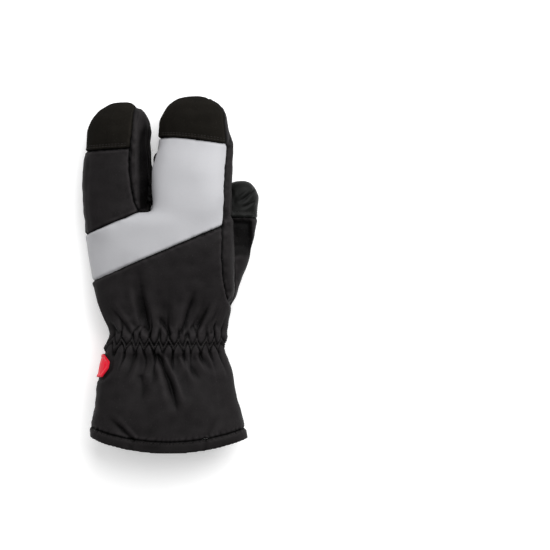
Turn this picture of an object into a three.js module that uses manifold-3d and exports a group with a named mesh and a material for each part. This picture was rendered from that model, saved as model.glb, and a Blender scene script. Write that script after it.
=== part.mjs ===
// A padded three-finger cycling mitt for the left hand, lying on its palm with the fingers along +Y.
// The hand is a hollow padded wall: a palm that splits into two finger pods, with a thumb under its side.
// An elastic band gathers the wrist, and a flared cuff ends in a bound hem with a strap over its vent.
// Every sewn panel is its own piece, cut out of the wall along its seams with a small gap.
// Millimetres, +Z up, thumb towards +X, back of the hand on top.
import * as THREE from "three";
import { mergeVertices } from "three/addons/utils/BufferGeometryUtils.js";
import Module from "manifold-3d";

const wasm = await Module();
wasm.setup();

// Lengths along the mitt, from the wrist line
const handLength = 194; // to the tip of the longer pod
const cuffLength = 88; // to the lowest point of the hem
const slitLength = 92; // from the fork of the fingers to the tip of the longer pod
const podStep = 5; // how much shorter the outer pod is
const thumbLength = 128; // to the tip of the thumb
const bandLength = 20; // the gathered wrist band

// Widths and depths
const palmWidth = 122;
const outerPodWidth = 53;
const podEase = 3; // how much narrower the two pods are together than the palm
const innerPodWidth = palmWidth - outerPodWidth - podEase;
const thumbWidth = 33;
const wristWidth = 88;
const hemWidth = 123;
const handDepth = 44;
const podDepth = 37;
const thumbDepth = 26;
const wristDepth = 36;
const hemDepth = 48;
const handRoll = 12; // degrees that the thumb lifts its side of the hand

// Walls and things sewn on
const handWall = 3.2; // padded
const cuffWall = 2.4;
const seamGap = 0.3;
// How far the back wraps under the palm at each side
const palmSeamInsets = {
  palm: { left: 5, right: 5 },
  outerPod: { left: 3, right: 9 },
  innerPod: { left: 4, right: 5 },
};
const patchThickness = 1.2;
const strapThickness = 2.2;
const labelThickness = 1.2;
const hemHeight = 9.5;
const hemProud = 1; // how far the binding stands out from the cuff
const hemBow = 10.5; // how far the middle of the hem hangs below its ends
const puckers = 20; // zigzag puckers round the elastic
const puckerSides = 3; // facets across each
const puckerHeight = 1.7;

// Levels above the surface that the mitt lies on
const palmLift = seamGap + patchThickness;
const cuffLift = seamGap + strapThickness;

const half = 0.5;
const reach = 400; // longer than the whole mitt, for cutters
const handMiddle = 0.51; // height of the hand's middle, as a share of its depth
const cuffMiddle = 0.48; // and of the cuff's
const thumbFreeShare = 0.66; // where the thumb leaves the hand, as a share of the way to the fork
const thumbCapStart = 0.77; // share of the thumb's length
const slitMiddle = 0.455; // share of the palm's width from its outer edge
const slitWallTop = 0.62; // share of the hand's depth
const webInset = 2; // keeps the web inside the pods' sides
const tipFlat = 0.35; // share of a step that is left flat at a tip
const foldLead = 0.3; // the folds start this share of their length inside the wrist band
const seamTaper = 1.6; // the palm's seam runs up a pod until it is this many insets wide
const seamPoint = 0.3; // and closes this share of the insets further on
const hemSpan = 0.75; // how far the hem's line runs to each side, as a share of its width
const hemEnds = -0.4; // lowest value of its bow, past the cuff's sides
const cuffRoll = 0.1; // the cuff's share of the hand's roll
const bandSteps = 4;
const hemSteps = 12;
const degree = Math.PI / 180;
const forkY = handLength - slitLength;
const bandTop = bandLength * half;
const bandBottom = bandTop - bandLength;
const palmLeft = -palmWidth * 0.575; // the palm lies further to the little finger's side
const palmRight = palmWidth * 0.435;
const handZ = palmLift + handDepth * handMiddle;
const cuffZ = cuffLift + hemDepth * cuffMiddle;
const wristZ = (cuffZ + handZ) * half;

const mix = (a, b, share) => a + (b - a) * share;

// How the palm swells out of the wrist. at: share of the way from the wrist line to the fork.
// left, right: share of the way from the wrist's edge to the palm's. lift, depth and roll: shares of the way
// from the wrist's to the palm's.
const palmTable = [
  { at: 0.075, left: 0.03, right: 0.1, lift: 0.0, depth: 0.04, roll: 0.1 },
  { at: 0.16, left: 0.25, right: 0.34, lift: 0.1, depth: 0.22, roll: 0.2 },
  { at: 0.3, left: 0.5, right: 0.72, lift: 0.4, depth: 0.55, roll: 0.4 },
  { at: 0.45, left: 0.7, right: 0.98, lift: 0.7, depth: 0.85, roll: 0.65 },
  { at: 0.63, left: 0.85, right: 1.02, lift: 0.95, depth: 1.0, roll: 0.9 },
  { at: 0.79, left: 0.92, right: 0.98, lift: 1.0, depth: 1.02, roll: 1.0 },
  { at: 0.94, left: 0.97, right: 0.9, lift: 1.0, depth: 0.98, roll: 1.0 },
];

// The web between the pods slopes from the back of the hand up to the palm.
// up: share of the hand's depth that is left; at: share of the slit's length above the fork.
const webTable = [
  { at: 0.0, up: 0.92 },
  { at: 0.06, up: 0.66 },
  { at: 0.12, up: 0.44 },
  { at: 0.17, up: 0.28 },
];

// The trunks of the pods and the thumb. at: share of the length from the part's root to its tip.
// left, right: edges as shares of the part's width from its middle line. middle: where that line is, as a
// share of the palm's width. z: height of the middle as a share of the hand's depth. depth: share of its own.
const outerPodTable = [
  { at: -0.22, middle: -0.335, left: -0.45, right: 0.4, z: 0.38, depth: 1.0 },
  { at: 0.02, middle: -0.36, left: -0.49, right: 0.52, z: 0.385, depth: 1.04 },
  { at: 0.16, middle: -0.357, left: -0.5, right: 0.55, z: 0.39, depth: 1.02 },
  { at: 0.32, middle: -0.354, left: -0.51, right: 0.56, z: 0.395, depth: 1.0 },
  { at: 0.5, middle: -0.345, left: -0.5, right: 0.54, z: 0.4, depth: 0.98 },
  { at: 0.66, middle: -0.338, left: -0.46, right: 0.47, z: 0.4, depth: 0.95 },
];
const innerPodTable = [
  { at: -0.22, middle: 0.13, left: -0.45, right: 0.46, z: 0.6, depth: 1.04 },
  { at: 0.02, middle: 0.143, left: -0.53, right: 0.5, z: 0.64, depth: 1.08 },
  { at: 0.16, middle: 0.15, left: -0.54, right: 0.5, z: 0.64, depth: 1.06 },
  { at: 0.34, middle: 0.152, left: -0.53, right: 0.5, z: 0.6, depth: 1.02 },
  { at: 0.5, middle: 0.158, left: -0.5, right: 0.482, z: 0.545, depth: 0.98 },
  { at: 0.63, middle: 0.174, left: -0.46, right: 0.446, z: 0.5, depth: 0.95 },
];
const thumbTable = [
  { at: 0.1, middle: 0.2, left: -0.55, right: 0.46, z: 0.5, depth: 0.8 },
  { at: 0.27, middle: 0.275, left: -0.56, right: 0.58, z: 0.31, depth: 1.12 },
  { at: 0.4, middle: 0.325, left: -0.56, right: 0.55, z: 0.27, depth: 1.05 },
  { at: 0.54, middle: 0.381, left: -0.53, right: 0.53, z: 0.255, depth: 1.0 },
  { at: 0.66, middle: 0.417, left: -0.5, right: 0.51, z: 0.25, depth: 0.98 },
  { at: 0.78, middle: 0.44, left: -0.49, right: 0.51, z: 0.245, depth: 0.96 },
  { at: 0.86, middle: 0.452, left: -0.47, right: 0.48, z: 0.24, depth: 0.92 },
];

// How the cuff flares. at: share of the cuff's length. left, right: shares of the way from the wrist's edge
// to the hem's. depth: share of the way from the wrist's depth to the hem's.
const cuffTable = [
  { at: -0.1, left: 0.04, right: 0.02, depth: 0.0 },
  { at: 0.0, left: 0.15, right: -0.07, depth: -0.06 },
  { at: 0.045, left: 0.3, right: -0.2, depth: -0.06 },
  { at: 0.09, left: 0.45, right: -0.02, depth: 0.0 },
  { at: 0.2, left: 0.61, right: 0.18, depth: 0.3 },
  { at: 0.33, left: 0.73, right: 0.37, depth: 0.55 },
  { at: 0.51, left: 0.86, right: 0.6, depth: 0.8 },
  { at: 0.71, left: 0.99, right: 0.87, depth: 0.94 },
  { at: 0.86, left: 1.03, right: 0.97, depth: 1.0 },
  { at: 1.06, left: 1.03, right: 1.0, depth: 1.0 },
];

// Folds that run out of the gathered wrist. side: 1 on the back, -1 on the palm. x: where it starts, as a
// share of the wrist's width. lean: sideways run for each length. up and down: its reach as a share of the
// palm's length to the fork and of the cuff's. depth, width: shares of the hand's depth and wrist's width.
const foldTable = [
  { side: 1, x: -0.42, lean: -0.5, up: 0.32, down: 0, depth: 0.08, width: 0.06 },
  { side: 1, x: -0.2, lean: -0.22, up: 0.62, down: 0, depth: 0.16, width: 0.075 },
  { side: 1, x: 0.0, lean: -0.2, up: 0.34, down: 0, depth: 0.12, width: 0.06 },
  { side: 1, x: 0.2, lean: 0.3, up: 0.52, down: 0, depth: 0.14, width: 0.07 },
  { side: 1, x: 0.36, lean: 0.45, up: 0.42, down: 0, depth: 0.1, width: 0.06 },
  { side: 1, x: -0.33, lean: 0.3, up: 0, down: 0.34, depth: 0.1, width: 0.06 },
  { side: 1, x: -0.06, lean: -0.35, up: 0, down: 0.75, depth: 0.13, width: 0.07 },
  { side: 1, x: 0.13, lean: -0.3, up: 0, down: 0.5, depth: 0.1, width: 0.06 },
  { side: 1, x: 0.32, lean: -0.4, up: 0, down: 0.4, depth: 0.08, width: 0.06 },
  { side: -1, x: -0.34, lean: -0.3, up: 0.3, down: 0.34, depth: 0.09, width: 0.065 },
  { side: -1, x: -0.1, lean: 0.1, up: 0.28, down: 0.34, depth: 0.1, width: 0.065 },
  { side: -1, x: 0.14, lean: 0.1, up: 0.26, down: 0.45, depth: 0.1, width: 0.065 },
  { side: -1, x: 0.34, lean: -0.25, up: 0.32, down: 0.4, depth: 0.08, width: 0.06 },
];

// How far the folds press the wall in at a point
function foldDepth(x, y, side) {
  let depth = 0;
  for (const fold of foldTable) {
    const length = y > 0 ? fold.up * forkY : fold.down * cuffLength;
    const along = y > 0 ? (y - bandTop) / length : (bandBottom - y) / length;
    if (fold.side !== side || length === 0 || along < -foldLead || along > 1) continue;
    const line = (fold.x + fold.lean * Math.abs(y) / wristWidth) * wristWidth;
    const across = (x - line) / (fold.width * wristWidth);
    const fade = along < 0 ? 1 : (1 - along) * (1 - along) * (1 + 2 * along);
    depth += fold.depth * handDepth * Math.exp(-across * across) * fade;
  }
  return depth;
}

const roundness = 2.35; // exponent of the sections: 2 is an ellipse, more is squarer

// One ring of a section, grown by a distance, with its folds pressed in
function ringOf(row, sides, grow, folded) {
  const middle = (row.left + row.right) * half;
  const across = (row.right - row.left) * half + grow;
  const up = row.depth * half + grow;
  const turn = (row.roll ?? 0) * degree;
  const points = [];
  for (let i = 0; i < sides; i++) {
    const angle = (i / sides) * 2 * Math.PI;
    const c = Math.cos(angle);
    const s = Math.sin(angle);
    const flat = across * Math.sign(c) * Math.abs(c) ** (2 / roundness);
    let rise = up * Math.sign(s) * Math.abs(s) ** (2 / roundness);
    if (folded) rise -= Math.sign(s) * Math.abs(s) * foldDepth(middle + flat, row.y, Math.sign(s));
    points.push([
      middle + flat * Math.cos(turn) - rise * Math.sin(turn),
      row.y,
      row.z + flat * Math.sin(turn) + rise * Math.cos(turn),
    ]);
  }
  return points;
}

// A closed solid through rings that run towards +Y
function loftOf(rings) {
  const sides = rings[0].length;
  const vertices = rings.flat(2);
  const last = rings.length - 1;
  const faces = [];
  for (let r = 0; r < last; r++) {
    for (let i = 0; i < sides; i++) {
      const a = r * sides + i;
      const b = r * sides + ((i + 1) % sides);
      faces.push(a, a + sides, b, b, a + sides, b + sides);
    }
  }
  for (const r of [0, last]) {
    const hub = vertices.length / 3;
    for (let k = 0; k < 3; k++) {
      vertices.push(rings[r].reduce((sum, point) => sum + point[k], 0) / sides);
    }
    for (let i = 0; i < sides; i++) {
      const a = r * sides + i;
      const b = r * sides + ((i + 1) % sides);
      faces.push(...(r === 0 ? [a, b, hub] : [b, a, hub]));
    }
  }
  return solidFrom(vertices, faces);
}

function solidFrom(vertices, faces) {
  const mesh = new wasm.Mesh({
    numProp: 3,
    vertProperties: new Float32Array(vertices),
    triVerts: new Uint32Array(faces),
  });
  return new wasm.Manifold(mesh);
}

// A three.js geometry as a solid, with its shared vertices merged
function solidOf(geometry) {
  geometry.deleteAttribute("normal");
  geometry.deleteAttribute("uv");
  const merged = mergeVertices(geometry);
  return solidFrom(merged.getAttribute("position").array, merged.index.array);
}

// Rows of a pod or thumb: its trunk, then a round tip that the grow distance lengthens
function tubeRows(table, size, grow) {
  const rows = table.map((row) => ({
    y: size.root + row.at * size.length,
    left: palmWidth * row.middle + row.left * size.width,
    right: palmWidth * row.middle + row.right * size.width,
    z: palmLift + row.z * handDepth,
    depth: row.depth * size.depth,
    roll: size.roll,
  }));
  const last = rows[rows.length - 1];
  const dome = size.root + size.length - last.y + grow;
  const middle = (last.left + last.right) * half;
  const across = (last.right - last.left) * half;
  for (let step = 1; step <= size.tipSteps; step++) {
    const angle = (step / (size.tipSteps + tipFlat)) * 90 * degree;
    const shrink = Math.cos(angle) ** size.blunt;
    const sag = Math.sin(angle) ** 2;
    const centre = middle + size.tipShift * palmWidth * Math.sin(angle);
    const width = (across + grow) * shrink - grow;
    rows.push({
      y: last.y + dome * Math.sin(angle),
      left: centre - width,
      right: centre + width,
      z: last.z - size.tipSag * handDepth * sag,
      depth: (last.depth + 2 * grow) * shrink - 2 * grow,
      roll: size.roll * Math.cos(angle),
    });
  }
  return rows;
}

const outerPod = {
  root: forkY, length: slitLength - podStep, width: outerPodWidth, depth: podDepth,
  roll: handRoll, tipShift: 0.035, tipSag: 0.05, tipSteps: 5, blunt: 0.95,
};
const innerPod = {
  root: forkY, length: slitLength, width: innerPodWidth, depth: podDepth,
  roll: handRoll, tipShift: -0.016, tipSag: 0.1, tipSteps: 5, blunt: 0.95,
};
const thumb = {
  root: 0, length: thumbLength, width: thumbWidth, depth: thumbDepth,
  roll: 0, tipShift: 0.012, tipSag: 0.02, tipSteps: 4, blunt: 0.95,
};

const ringsOf = (rows, sides, grow, folded) => rows.map((row) => ringOf(row, sides, grow, folded));

function boxOf(low, high) {
  const size = high.map((value, k) => value - low[k]);
  const box = new THREE.BoxGeometry(...size);
  box.translate(...low.map((value, k) => value + size[k] * half));
  return solidOf(box);
}

const level = (low, high) => boxOf([-reach, -reach, low], [reach, reach, high]);
const stretch = (low, high) => boxOf([-reach, low, -reach], [reach, high, reach]);

// Rows of the palm, and of the web that closes it between the pods
function palmRows(grow) {
  const rows = palmTable.map((row) => ({
    y: row.at * forkY,
    left: mix(-wristWidth * half, palmLeft, row.left),
    right: mix(wristWidth * half, palmRight, row.right),
    z: mix(wristZ, handZ, row.lift),
    depth: mix(wristDepth, handDepth, row.depth),
    roll: row.roll * handRoll,
  }));
  const last = rows[rows.length - 1];
  for (const web of webTable) {
    const depth = (handDepth + 2 * grow) * web.up - 2 * grow;
    rows.push({
      ...last,
      y: forkY + web.at * slitLength + grow,
      z: last.z - (last.depth - depth) * half,
      left: last.left + webInset,
      right: last.right - webInset,
      depth,
    });
  }
  return rows;
}

// Points round a section: outside, and round the plainer hollow
const sidesOf = {
  palm: { outside: 44, hollow: 16 },
  pod: { outside: 20, hollow: 10 },
  thumb: { outside: 18, hollow: 9 },
  cuff: { outside: 40, hollow: 16 },
};
const sidesAt = (part, grow) => (grow < 0 ? sidesOf[part].hollow : sidesOf[part].outside);

// The palm and both pods, flattened underneath; the hollow runs on down through the wrist band
function handSolid(grow) {
  const rows = palmRows(grow);
  if (grow < 0) rows.unshift({ ...rows[0], y: bandBottom - seamGap });
  const palm = loftOf(ringsOf(rows, sidesAt("palm", grow), grow, true));
  const pods = [[outerPodTable, outerPod], [innerPodTable, innerPod]].map(([table, size]) =>
    loftOf(ringsOf(tubeRows(table, size, grow), sidesAt("pod", grow), grow, false)));
  return palm.add(pods[0]).add(pods[1]).intersect(level(palmLift - grow, reach));
}

function thumbSolid(grow) {
  const rings = ringsOf(tubeRows(thumbTable, thumb, grow), sidesAt("thumb", grow), grow, false);
  return loftOf(rings).intersect(level(-grow, reach));
}

function cuffRows() {
  return cuffTable.map((row) => ({
    y: -row.at * cuffLength,
    left: -mix(wristWidth, hemWidth, row.left) * half,
    right: mix(wristWidth, hemWidth, row.right) * half,
    z: mix(wristZ, cuffZ, row.at),
    depth: mix(wristDepth, hemDepth, row.depth),
    roll: handRoll * cuffRoll * (1 - row.at),
  })).reverse();
}

function cuffSolid(grow) {
  const rings = ringsOf(cuffRows(), sidesAt("cuff", grow), grow, true);
  return loftOf(rings).intersect(level(cuffLift - grow, reach));
}

// A flat outline, extruded between two heights
function prism(points, low = -reach, high = reach) {
  const shape = new THREE.Shape(points.map(([x, y]) => new THREE.Vector2(x, y)));
  const solid = new THREE.ExtrudeGeometry(shape, { depth: high - low, bevelEnabled: false });
  solid.translate(0, 0, low);
  return solidOf(solid);
}

// A cut of the seam gap's width that follows a seam seen from above
function kerf(points, low = -reach, high = reach) {
  const side = (sign) => points.map((point, i) => {
    const before = points[Math.max(i - 1, 0)];
    const after = points[Math.min(i + 1, points.length - 1)];
    const run = new THREE.Vector2(after[0] - before[0], after[1] - before[1]).normalize();
    return [point[0] - run.y * sign * seamGap * half, point[1] + run.x * sign * seamGap * half];
  });
  return prism([...side(-1), ...side(1).reverse()], low, high);
}

// A smooth seam through a few points
function smooth(points, steps) {
  const curve = new THREE.SplineCurve(points.map(([x, y]) => new THREE.Vector2(x, y)));
  return curve.getPoints(steps).map((point) => [point.x, point.y]);
}

// A point of the back of the hand: shares of the palm's width from its outer edge and of the hand's length
const onHand = ([u, v]) => [palmLeft + u * palmWidth, v * handLength];
const seamOf = (shares, steps) => smooth(shares.map(onHand), steps);

// Seams on the back, in shares of the palm's width and the hand's length
const slitSeam = seamOf([
  [0.36, 1.02], [0.348, 0.9], [0.327, 0.79], [0.322, 0.715], [0.333, 0.635], [0.358, 0.565], [0.385, 0.53],
], 9);
const slitLow = slitSeam[slitSeam.length - 1];
// Which point of a seam another seam meets
const joints = { slitAtCap: 3, sideAtCap: 3, sideAtPanel: 6, ventTop: 5 };
const outerCapSeam = [onHand([-0.2, 0.773]), slitSeam[joints.slitAtCap]];
const innerCapSeam = seamOf([[0.42, 0.835], [0.6, 0.834], [0.76, 0.823], [0.96, 0.804]], 6);
const innerSlitSeam = [[0.5, 0.53], [0.5, 0.8], [0.535, 0.9], [0.6, 0.97]].map(onHand);
const panelTop = [onHand([-0.2, 0.38]), slitLow, [onHand([slitMiddle, 0])[0] + seamGap, slitLow[1]]];
const panelBottom = [onHand([-0.2, 0.177]), onHand([0.945, 0.477])];
const sideSeam = seamOf([
  [0.9, 1.02], [0.94, 0.915], [0.955, 0.83], [0.94, 0.7], [0.932, 0.575], [0.93, 0.475], [0.92, 0.36],
  [0.928, 0.27], [0.955, 0.18], [1.0, 0.11], [1.06, 0.03],
], 10);

// Outlines on the palm, in the same shares
const upperPatch = [
  [0.13, 0.567], [0.217, 0.586], [0.343, 0.602], [0.467, 0.61], [0.797, 0.611], [0.963, 0.609],
  [0.957, 0.557], [0.898, 0.507], [0.699, 0.466], [0.517, 0.421], [0.433, 0.371], [0.417, 0.301],
  [0.377, 0.206], [0.334, 0.187], [0.223, 0.202], [0.163, 0.252], [0.143, 0.334], [0.15, 0.408],
  [0.217, 0.429], [0.433, 0.487], [0.597, 0.526], [0.61, 0.538], [0.508, 0.536], [0.383, 0.528],
  [0.202, 0.503], [0.13, 0.513],
];
const lowerPatch = [
  [0.799, 0.423], [0.837, 0.408], [0.815, 0.364], [0.782, 0.303], [0.75, 0.243], [0.697, 0.219], [0.55, 0.2],
  [0.487, 0.19], [0.463, 0.21], [0.483, 0.268], [0.523, 0.326], [0.633, 0.364], [0.723, 0.392],
];

// A point of the cuff: shares of the hem's width from the middle line and of the cuff's length from the wrist
const onCuff = ([u, v]) => [u * hemWidth, -v * cuffLength];
const ventTable = [
  [0.333, 0.1], [0.306, 0.18], [0.3, 0.29], [0.244, 0.667], [0.195, 1.13],
  [0.215, 1.13], [0.268, 0.667], [0.345, 0.29], [0.353, 0.156],
];
const strapTable = [
  [0.337, 0.31], [0.15, 0.37], [0.073, 0.395], [0.021, 0.47], [-0.002, 0.6], [0.021, 0.75], [0.054, 0.81],
  [0.086, 0.825], [0.214, 0.815], [0.33, 0.8],
];
const labelTable = [
  [-0.61, 0.1], [-0.428, 0.1], [-0.379, 0.18], [-0.386, 0.237], [-0.428, 0.315], [-0.61, 0.335],
];

const farLeft = -reach * half;
const farRight = reach * half;
const farTop = handLength * 1.1;
const cut = (solid, cutters) => cutters.reduce((rest, cutter) => rest.subtract(cutter), solid);
const largest = (solid) =>
  solid.decompose().reduce((best, body) => (body.volume() > best.volume() ? body : best));

// Above its root the thumb lies against the hand, which is dented to make room for it
const thumbFree = forkY * thumbFreeShare;
const freeThumb = (grow) => thumbSolid(grow).intersect(stretch(thumbFree - grow, reach));
const handCavity = handSolid(-handWall).subtract(freeThumb(seamGap + handWall));
const cavity = handCavity.add(thumbSolid(-handWall)).add(cuffSolid(-cuffWall));
const handShell = handSolid(0).subtract(freeThumb(seamGap)).subtract(cavity)
  .intersect(stretch(bandTop + seamGap * half, reach));

// Everything under the middles of a pod's rows, which sink at its tip
function belowMiddle(rows, spread) {
  const ends = [{ ...rows[0], y: rows[0].y - handLength }, { ...rows[rows.length - 1], y: farTop }];
  return loftOf([ends[0], ...rows, ends[1]].map((row) => {
    const middle = (row.left + row.right) * half;
    const lean = Math.tan(row.roll * degree) * reach;
    return [
      [middle + reach, row.y, row.z + lean + spread],
      [middle - reach, row.y, row.z - lean + spread],
      [middle - reach, row.y, -reach * 2],
      [middle + reach, row.y, -reach * 2],
    ];
  }));
}

// The palm is the underside inside its seam, which tilts with the hand
function underside(spread) {
  const outlines = [
    { rows: palmRows(0), insets: palmSeamInsets.palm, low: -handLength },
    { rows: tubeRows(outerPodTable, outerPod, 0), insets: palmSeamInsets.outerPod, low: 0 },
    { rows: tubeRows(innerPodTable, innerPod, 0), insets: palmSeamInsets.innerPod, low: 0 },
  ];
  const zones = outlines.map(({ rows, insets, low }) => {
    const left = insets.left - spread;
    const right = insets.right - spread;
    const both = insets.left + insets.right;
    const kept = rows.filter((row) => row.right - row.left > seamTaper * both);
    const first = { ...kept[0], y: kept[0].y + low };
    const points = [first, ...kept];
    const top = kept[kept.length - 1];
    const zone = prism([
      ...points.map((row) => [row.left + left, row.y]),
      [(top.left + left + top.right - right) * half, top.y + both * seamPoint + spread],
      ...points.reverse().map((row) => [row.right - right, row.y]),
    ]);
    return low === 0 ? zone.intersect(belowMiddle(rows, spread)) : zone;
  });
  const lid = new THREE.BoxGeometry(reach, reach * 2, reach);
  lid.translate(0, 0, -reach * half + spread);
  lid.rotateY(-handRoll * degree);
  lid.translate((palmLeft + palmRight) * half, 0, handZ);
  return zones[0].add(zones[1]).add(zones[2]).intersect(solidOf(lid));
}

// The panels of the hand: the palm below, and the back cut along its seams
function handPanels() {
  const slitX = onHand([slitMiddle, 0])[0];
  const slitKerf = kerf([[slitX, farTop], [slitX, slitLow[1] - seamGap * 2]]);
  const seams = [slitSeam, outerCapSeam, innerCapSeam, panelTop, panelBottom, sideSeam];
  const back = cut(handShell.subtract(underside(seamGap * half)), seams.map((seam) => kerf(seam)));
  const slitSide = (grow) => prism([
    [slitX - grow, slitLow[1] - grow],
    ...innerSlitSeam.map(([x, y]) => [x + grow, y]),
    [innerSlitSeam[innerSlitSeam.length - 1][0] + grow, farTop], [slitX - grow, farTop],
  ], -reach, palmLift + handDepth * slitWallTop + grow);
  const piece = (outline) => largest(back.intersect(prism(outline)).subtract(slitKerf));
  const innerPiece = (outline) => largest(piece(outline).subtract(slitSide(seamGap)));
  const capStart = [slitX, innerCapSeam[0][1]];
  return {
    palm_panel: largest(handShell.intersect(underside(-seamGap * half))),
    fingertip_cap_outer: piece([
      outerCapSeam[0], ...slitSeam.slice(0, joints.slitAtCap + 1).reverse(), [farLeft, farTop],
    ]),
    back_panel_outer: piece([outerCapSeam[0], panelTop[0], ...slitSeam.slice(joints.slitAtCap).reverse()]),
    slit_wall_outer: piece([...slitSeam, [slitX, slitLow[1]], [slitX, farTop]]),
    slit_wall_inner: largest(back.subtract(slitKerf).intersect(slitSide(0))),
    fingertip_cap_inner: innerPiece([
      capStart, ...innerCapSeam.slice(1), ...sideSeam.slice(0, joints.sideAtCap).reverse(), [slitX, farTop],
    ]),
    reflective_panel: innerPiece([
      panelTop[0], panelTop[1], [slitX, slitLow[1]], capStart, ...innerCapSeam.slice(1),
      ...sideSeam.slice(joints.sideAtCap, joints.sideAtPanel), panelBottom[1], panelBottom[0],
    ]),
    back_panel_lower: piece([
      panelBottom[0], panelBottom[1], ...sideSeam.slice(joints.sideAtPanel), [farRight, 0], [farLeft, 0],
    ]),
    side_panel: piece([...sideSeam, [farRight, 0], [farRight, farTop]]),
  };
}

// The thumb: a cap, a panel inside towards the palm, and a panel round the rest
function thumbPanels() {
  const root = handSolid(seamGap).intersect(stretch(-reach, thumbFree + seamGap));
  const shell = thumbSolid(0).subtract(cavity).subtract(root).intersect(stretch(bandTop + seamGap, reach));
  const rows = tubeRows(thumbTable, thumb, 0);
  const middle = rows.map((row) => [(row.left + row.right) * half, row.y]);
  const lowest = [middle[0][0], bandTop];
  const inside = (spread) => prism([
    ...[lowest, ...middle].map(([x, y]) => [x + spread, y]), [middle[middle.length - 1][0], farTop],
    [farLeft, farTop], [farLeft, bandTop],
  ], -reach, rows[rows.length - 1].z + spread);
  const capY = thumbLength * thumbCapStart;
  const body = shell.intersect(stretch(-reach, capY - seamGap * half));
  return {
    thumb_cap: largest(shell.intersect(stretch(capY + seamGap * half, reach))),
    thumb_inner_panel: largest(body.intersect(inside(-seamGap * half))),
    thumb_outer_panel: largest(body.subtract(inside(seamGap * half))),
  };
}

// A section of the sleeve at any place along it
function sleeveRow(y) {
  const rows = [...cuffRows(), ...palmRows(0)].sort((a, b) => a.y - b.y);
  const next = Math.max(rows.findIndex((row) => row.y > y), 1);
  const [low, high] = [rows[next - 1], rows[next]];
  const share = (y - low.y) / (high.y - low.y);
  const row = { y };
  for (const key of ["left", "right", "z", "depth", "roll"]) row[key] = mix(low[key], high[key], share);
  return row;
}

// The elastic gathers the band into puckers that zigzag from one stitched row to the other
function wristBand() {
  const rings = [];
  for (let step = 0; step <= bandSteps; step++) {
    const share = step / bandSteps;
    const row = sleeveRow(mix(bandBottom, bandTop, share));
    const ring = ringOf(row, puckers * puckerSides, 0, false);
    const centre = [(row.left + row.right) * half, row.z];
    const swell = puckerHeight * Math.sin(share * Math.PI) ** 0.5;
    const lean = Math.abs(share - half) * Math.PI * 2;
    rings.push(ring.map(([x, y, z], i) => {
      const wave = Math.cos((i / puckerSides) * 2 * Math.PI + lean);
      const out = new THREE.Vector2(x - centre[0], z - centre[1]).normalize();
      return [x + out.x * swell * wave, y, z + out.y * swell * wave];
    }));
  }
  const shell = loftOf(rings).subtract(loftOf(
    [bandBottom - seamGap, 0, bandTop + seamGap]
      .map((y) => ringOf(sleeveRow(y), sidesOf.cuff.hollow, -handWall, false)),
  ));
  const middle = sleeveRow(0).z;
  return {
    wrist_band_back: shell.intersect(level(middle + seamGap * half, reach)),
    wrist_band_palm: shell.intersect(level(-reach, middle - seamGap * half)),
  };
}

// The line of the hem, bowed down in the middle; rise: how far above it
function hemLine(rise) {
  const points = [];
  for (let i = 0; i <= hemSteps; i++) {
    const share = (i / hemSteps) * 2 - 1;
    const x = share * hemWidth * hemSpan;
    const bow = Math.max(1 - (x / (hemWidth * half)) ** 2, hemEnds);
    points.push([x, -cuffLength + hemBow * (1 - bow) + rise]);
  }
  return points;
}
const aboveHem = (rise) => prism([...hemLine(rise), [farRight, farTop], [farLeft, farTop]]);

// The cuff: a back panel that wraps to the vent, a palm panel, and the hem's binding round both
function cuffPanels() {
  const inner = cuffSolid(-cuffWall);
  const vent = prism(ventTable.map(onCuff), -reach, cuffZ);
  const ventEdge = ventTable.slice(0, joints.ventTop).reverse().map(onCuff);
  const under = (spread) => prism([
    [farLeft, -reach], ...ventEdge.map(([x, y]) => [x + spread, y]),
    [ventEdge[joints.ventTop - 1][0] + spread, farTop], [farLeft, farTop],
  ], -reach, cuffZ + spread);
  const shell = cuffSolid(0).subtract(inner).subtract(vent)
    .intersect(stretch(-reach, bandBottom - seamGap * half))
    .intersect(aboveHem(hemHeight + seamGap * half));
  const hem = cuffSolid(hemProud).subtract(inner).subtract(vent)
    .intersect(aboveHem(0)).subtract(aboveHem(hemHeight - seamGap * half));
  return {
    cuff_back: largest(shell.subtract(under(seamGap * half))),
    cuff_palm: largest(shell.intersect(under(-seamGap * half))),
    hem_binding: largest(hem),
  };
}

// A flat thing sewn on the outside of a solid, inside an outline
const sewnOn = (solid, thickness, zone) =>
  largest(solid(seamGap + thickness).subtract(solid(seamGap)).intersect(zone));

const strapZone = prism(strapTable.map(onCuff), -reach, cuffZ);
const labelZone = prism(labelTable.map(onCuff)).intersect(stretch(-reach, bandBottom - seamGap));
const patchZone = (table) => prism(table.map(onHand), -reach, handZ).subtract(thumbSolid(seamGap));

const pieces = {
  ...handPanels(),
  ...thumbPanels(),
  ...wristBand(),
  ...cuffPanels(),
  palm_patch_upper: sewnOn(handSolid, patchThickness, patchZone(upperPatch)),
  palm_patch_lower: sewnOn(handSolid, patchThickness, patchZone(lowerPatch)),
  closure_strap: sewnOn(cuffSolid, strapThickness, strapZone),
  side_label: sewnOn(cuffSolid, labelThickness, labelZone),
};

const finishes = {
  softshell: { color: 0x242227, roughness: 0.85 },
  greyFilm: { color: 0xc8c8cb, roughness: 0.45 },
  matt: { color: 0x1c1b18, roughness: 0.95 },
  twill: { color: 0x3c3936, roughness: 0.9 },
  suede: { color: 0x14120f, roughness: 1 },
  strap: { color: 0x3a3735, roughness: 0.8 },
  red: { color: 0xcd1432, roughness: 0.6 },
};
const finishOf = {
  palm_panel: "twill",
  thumb_inner_panel: "twill",
  fingertip_cap_outer: "matt",
  fingertip_cap_inner: "matt",
  thumb_cap: "matt",
  reflective_panel: "greyFilm",
  palm_patch_upper: "suede",
  palm_patch_lower: "suede",
  closure_strap: "strap",
  side_label: "red",
};

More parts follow.
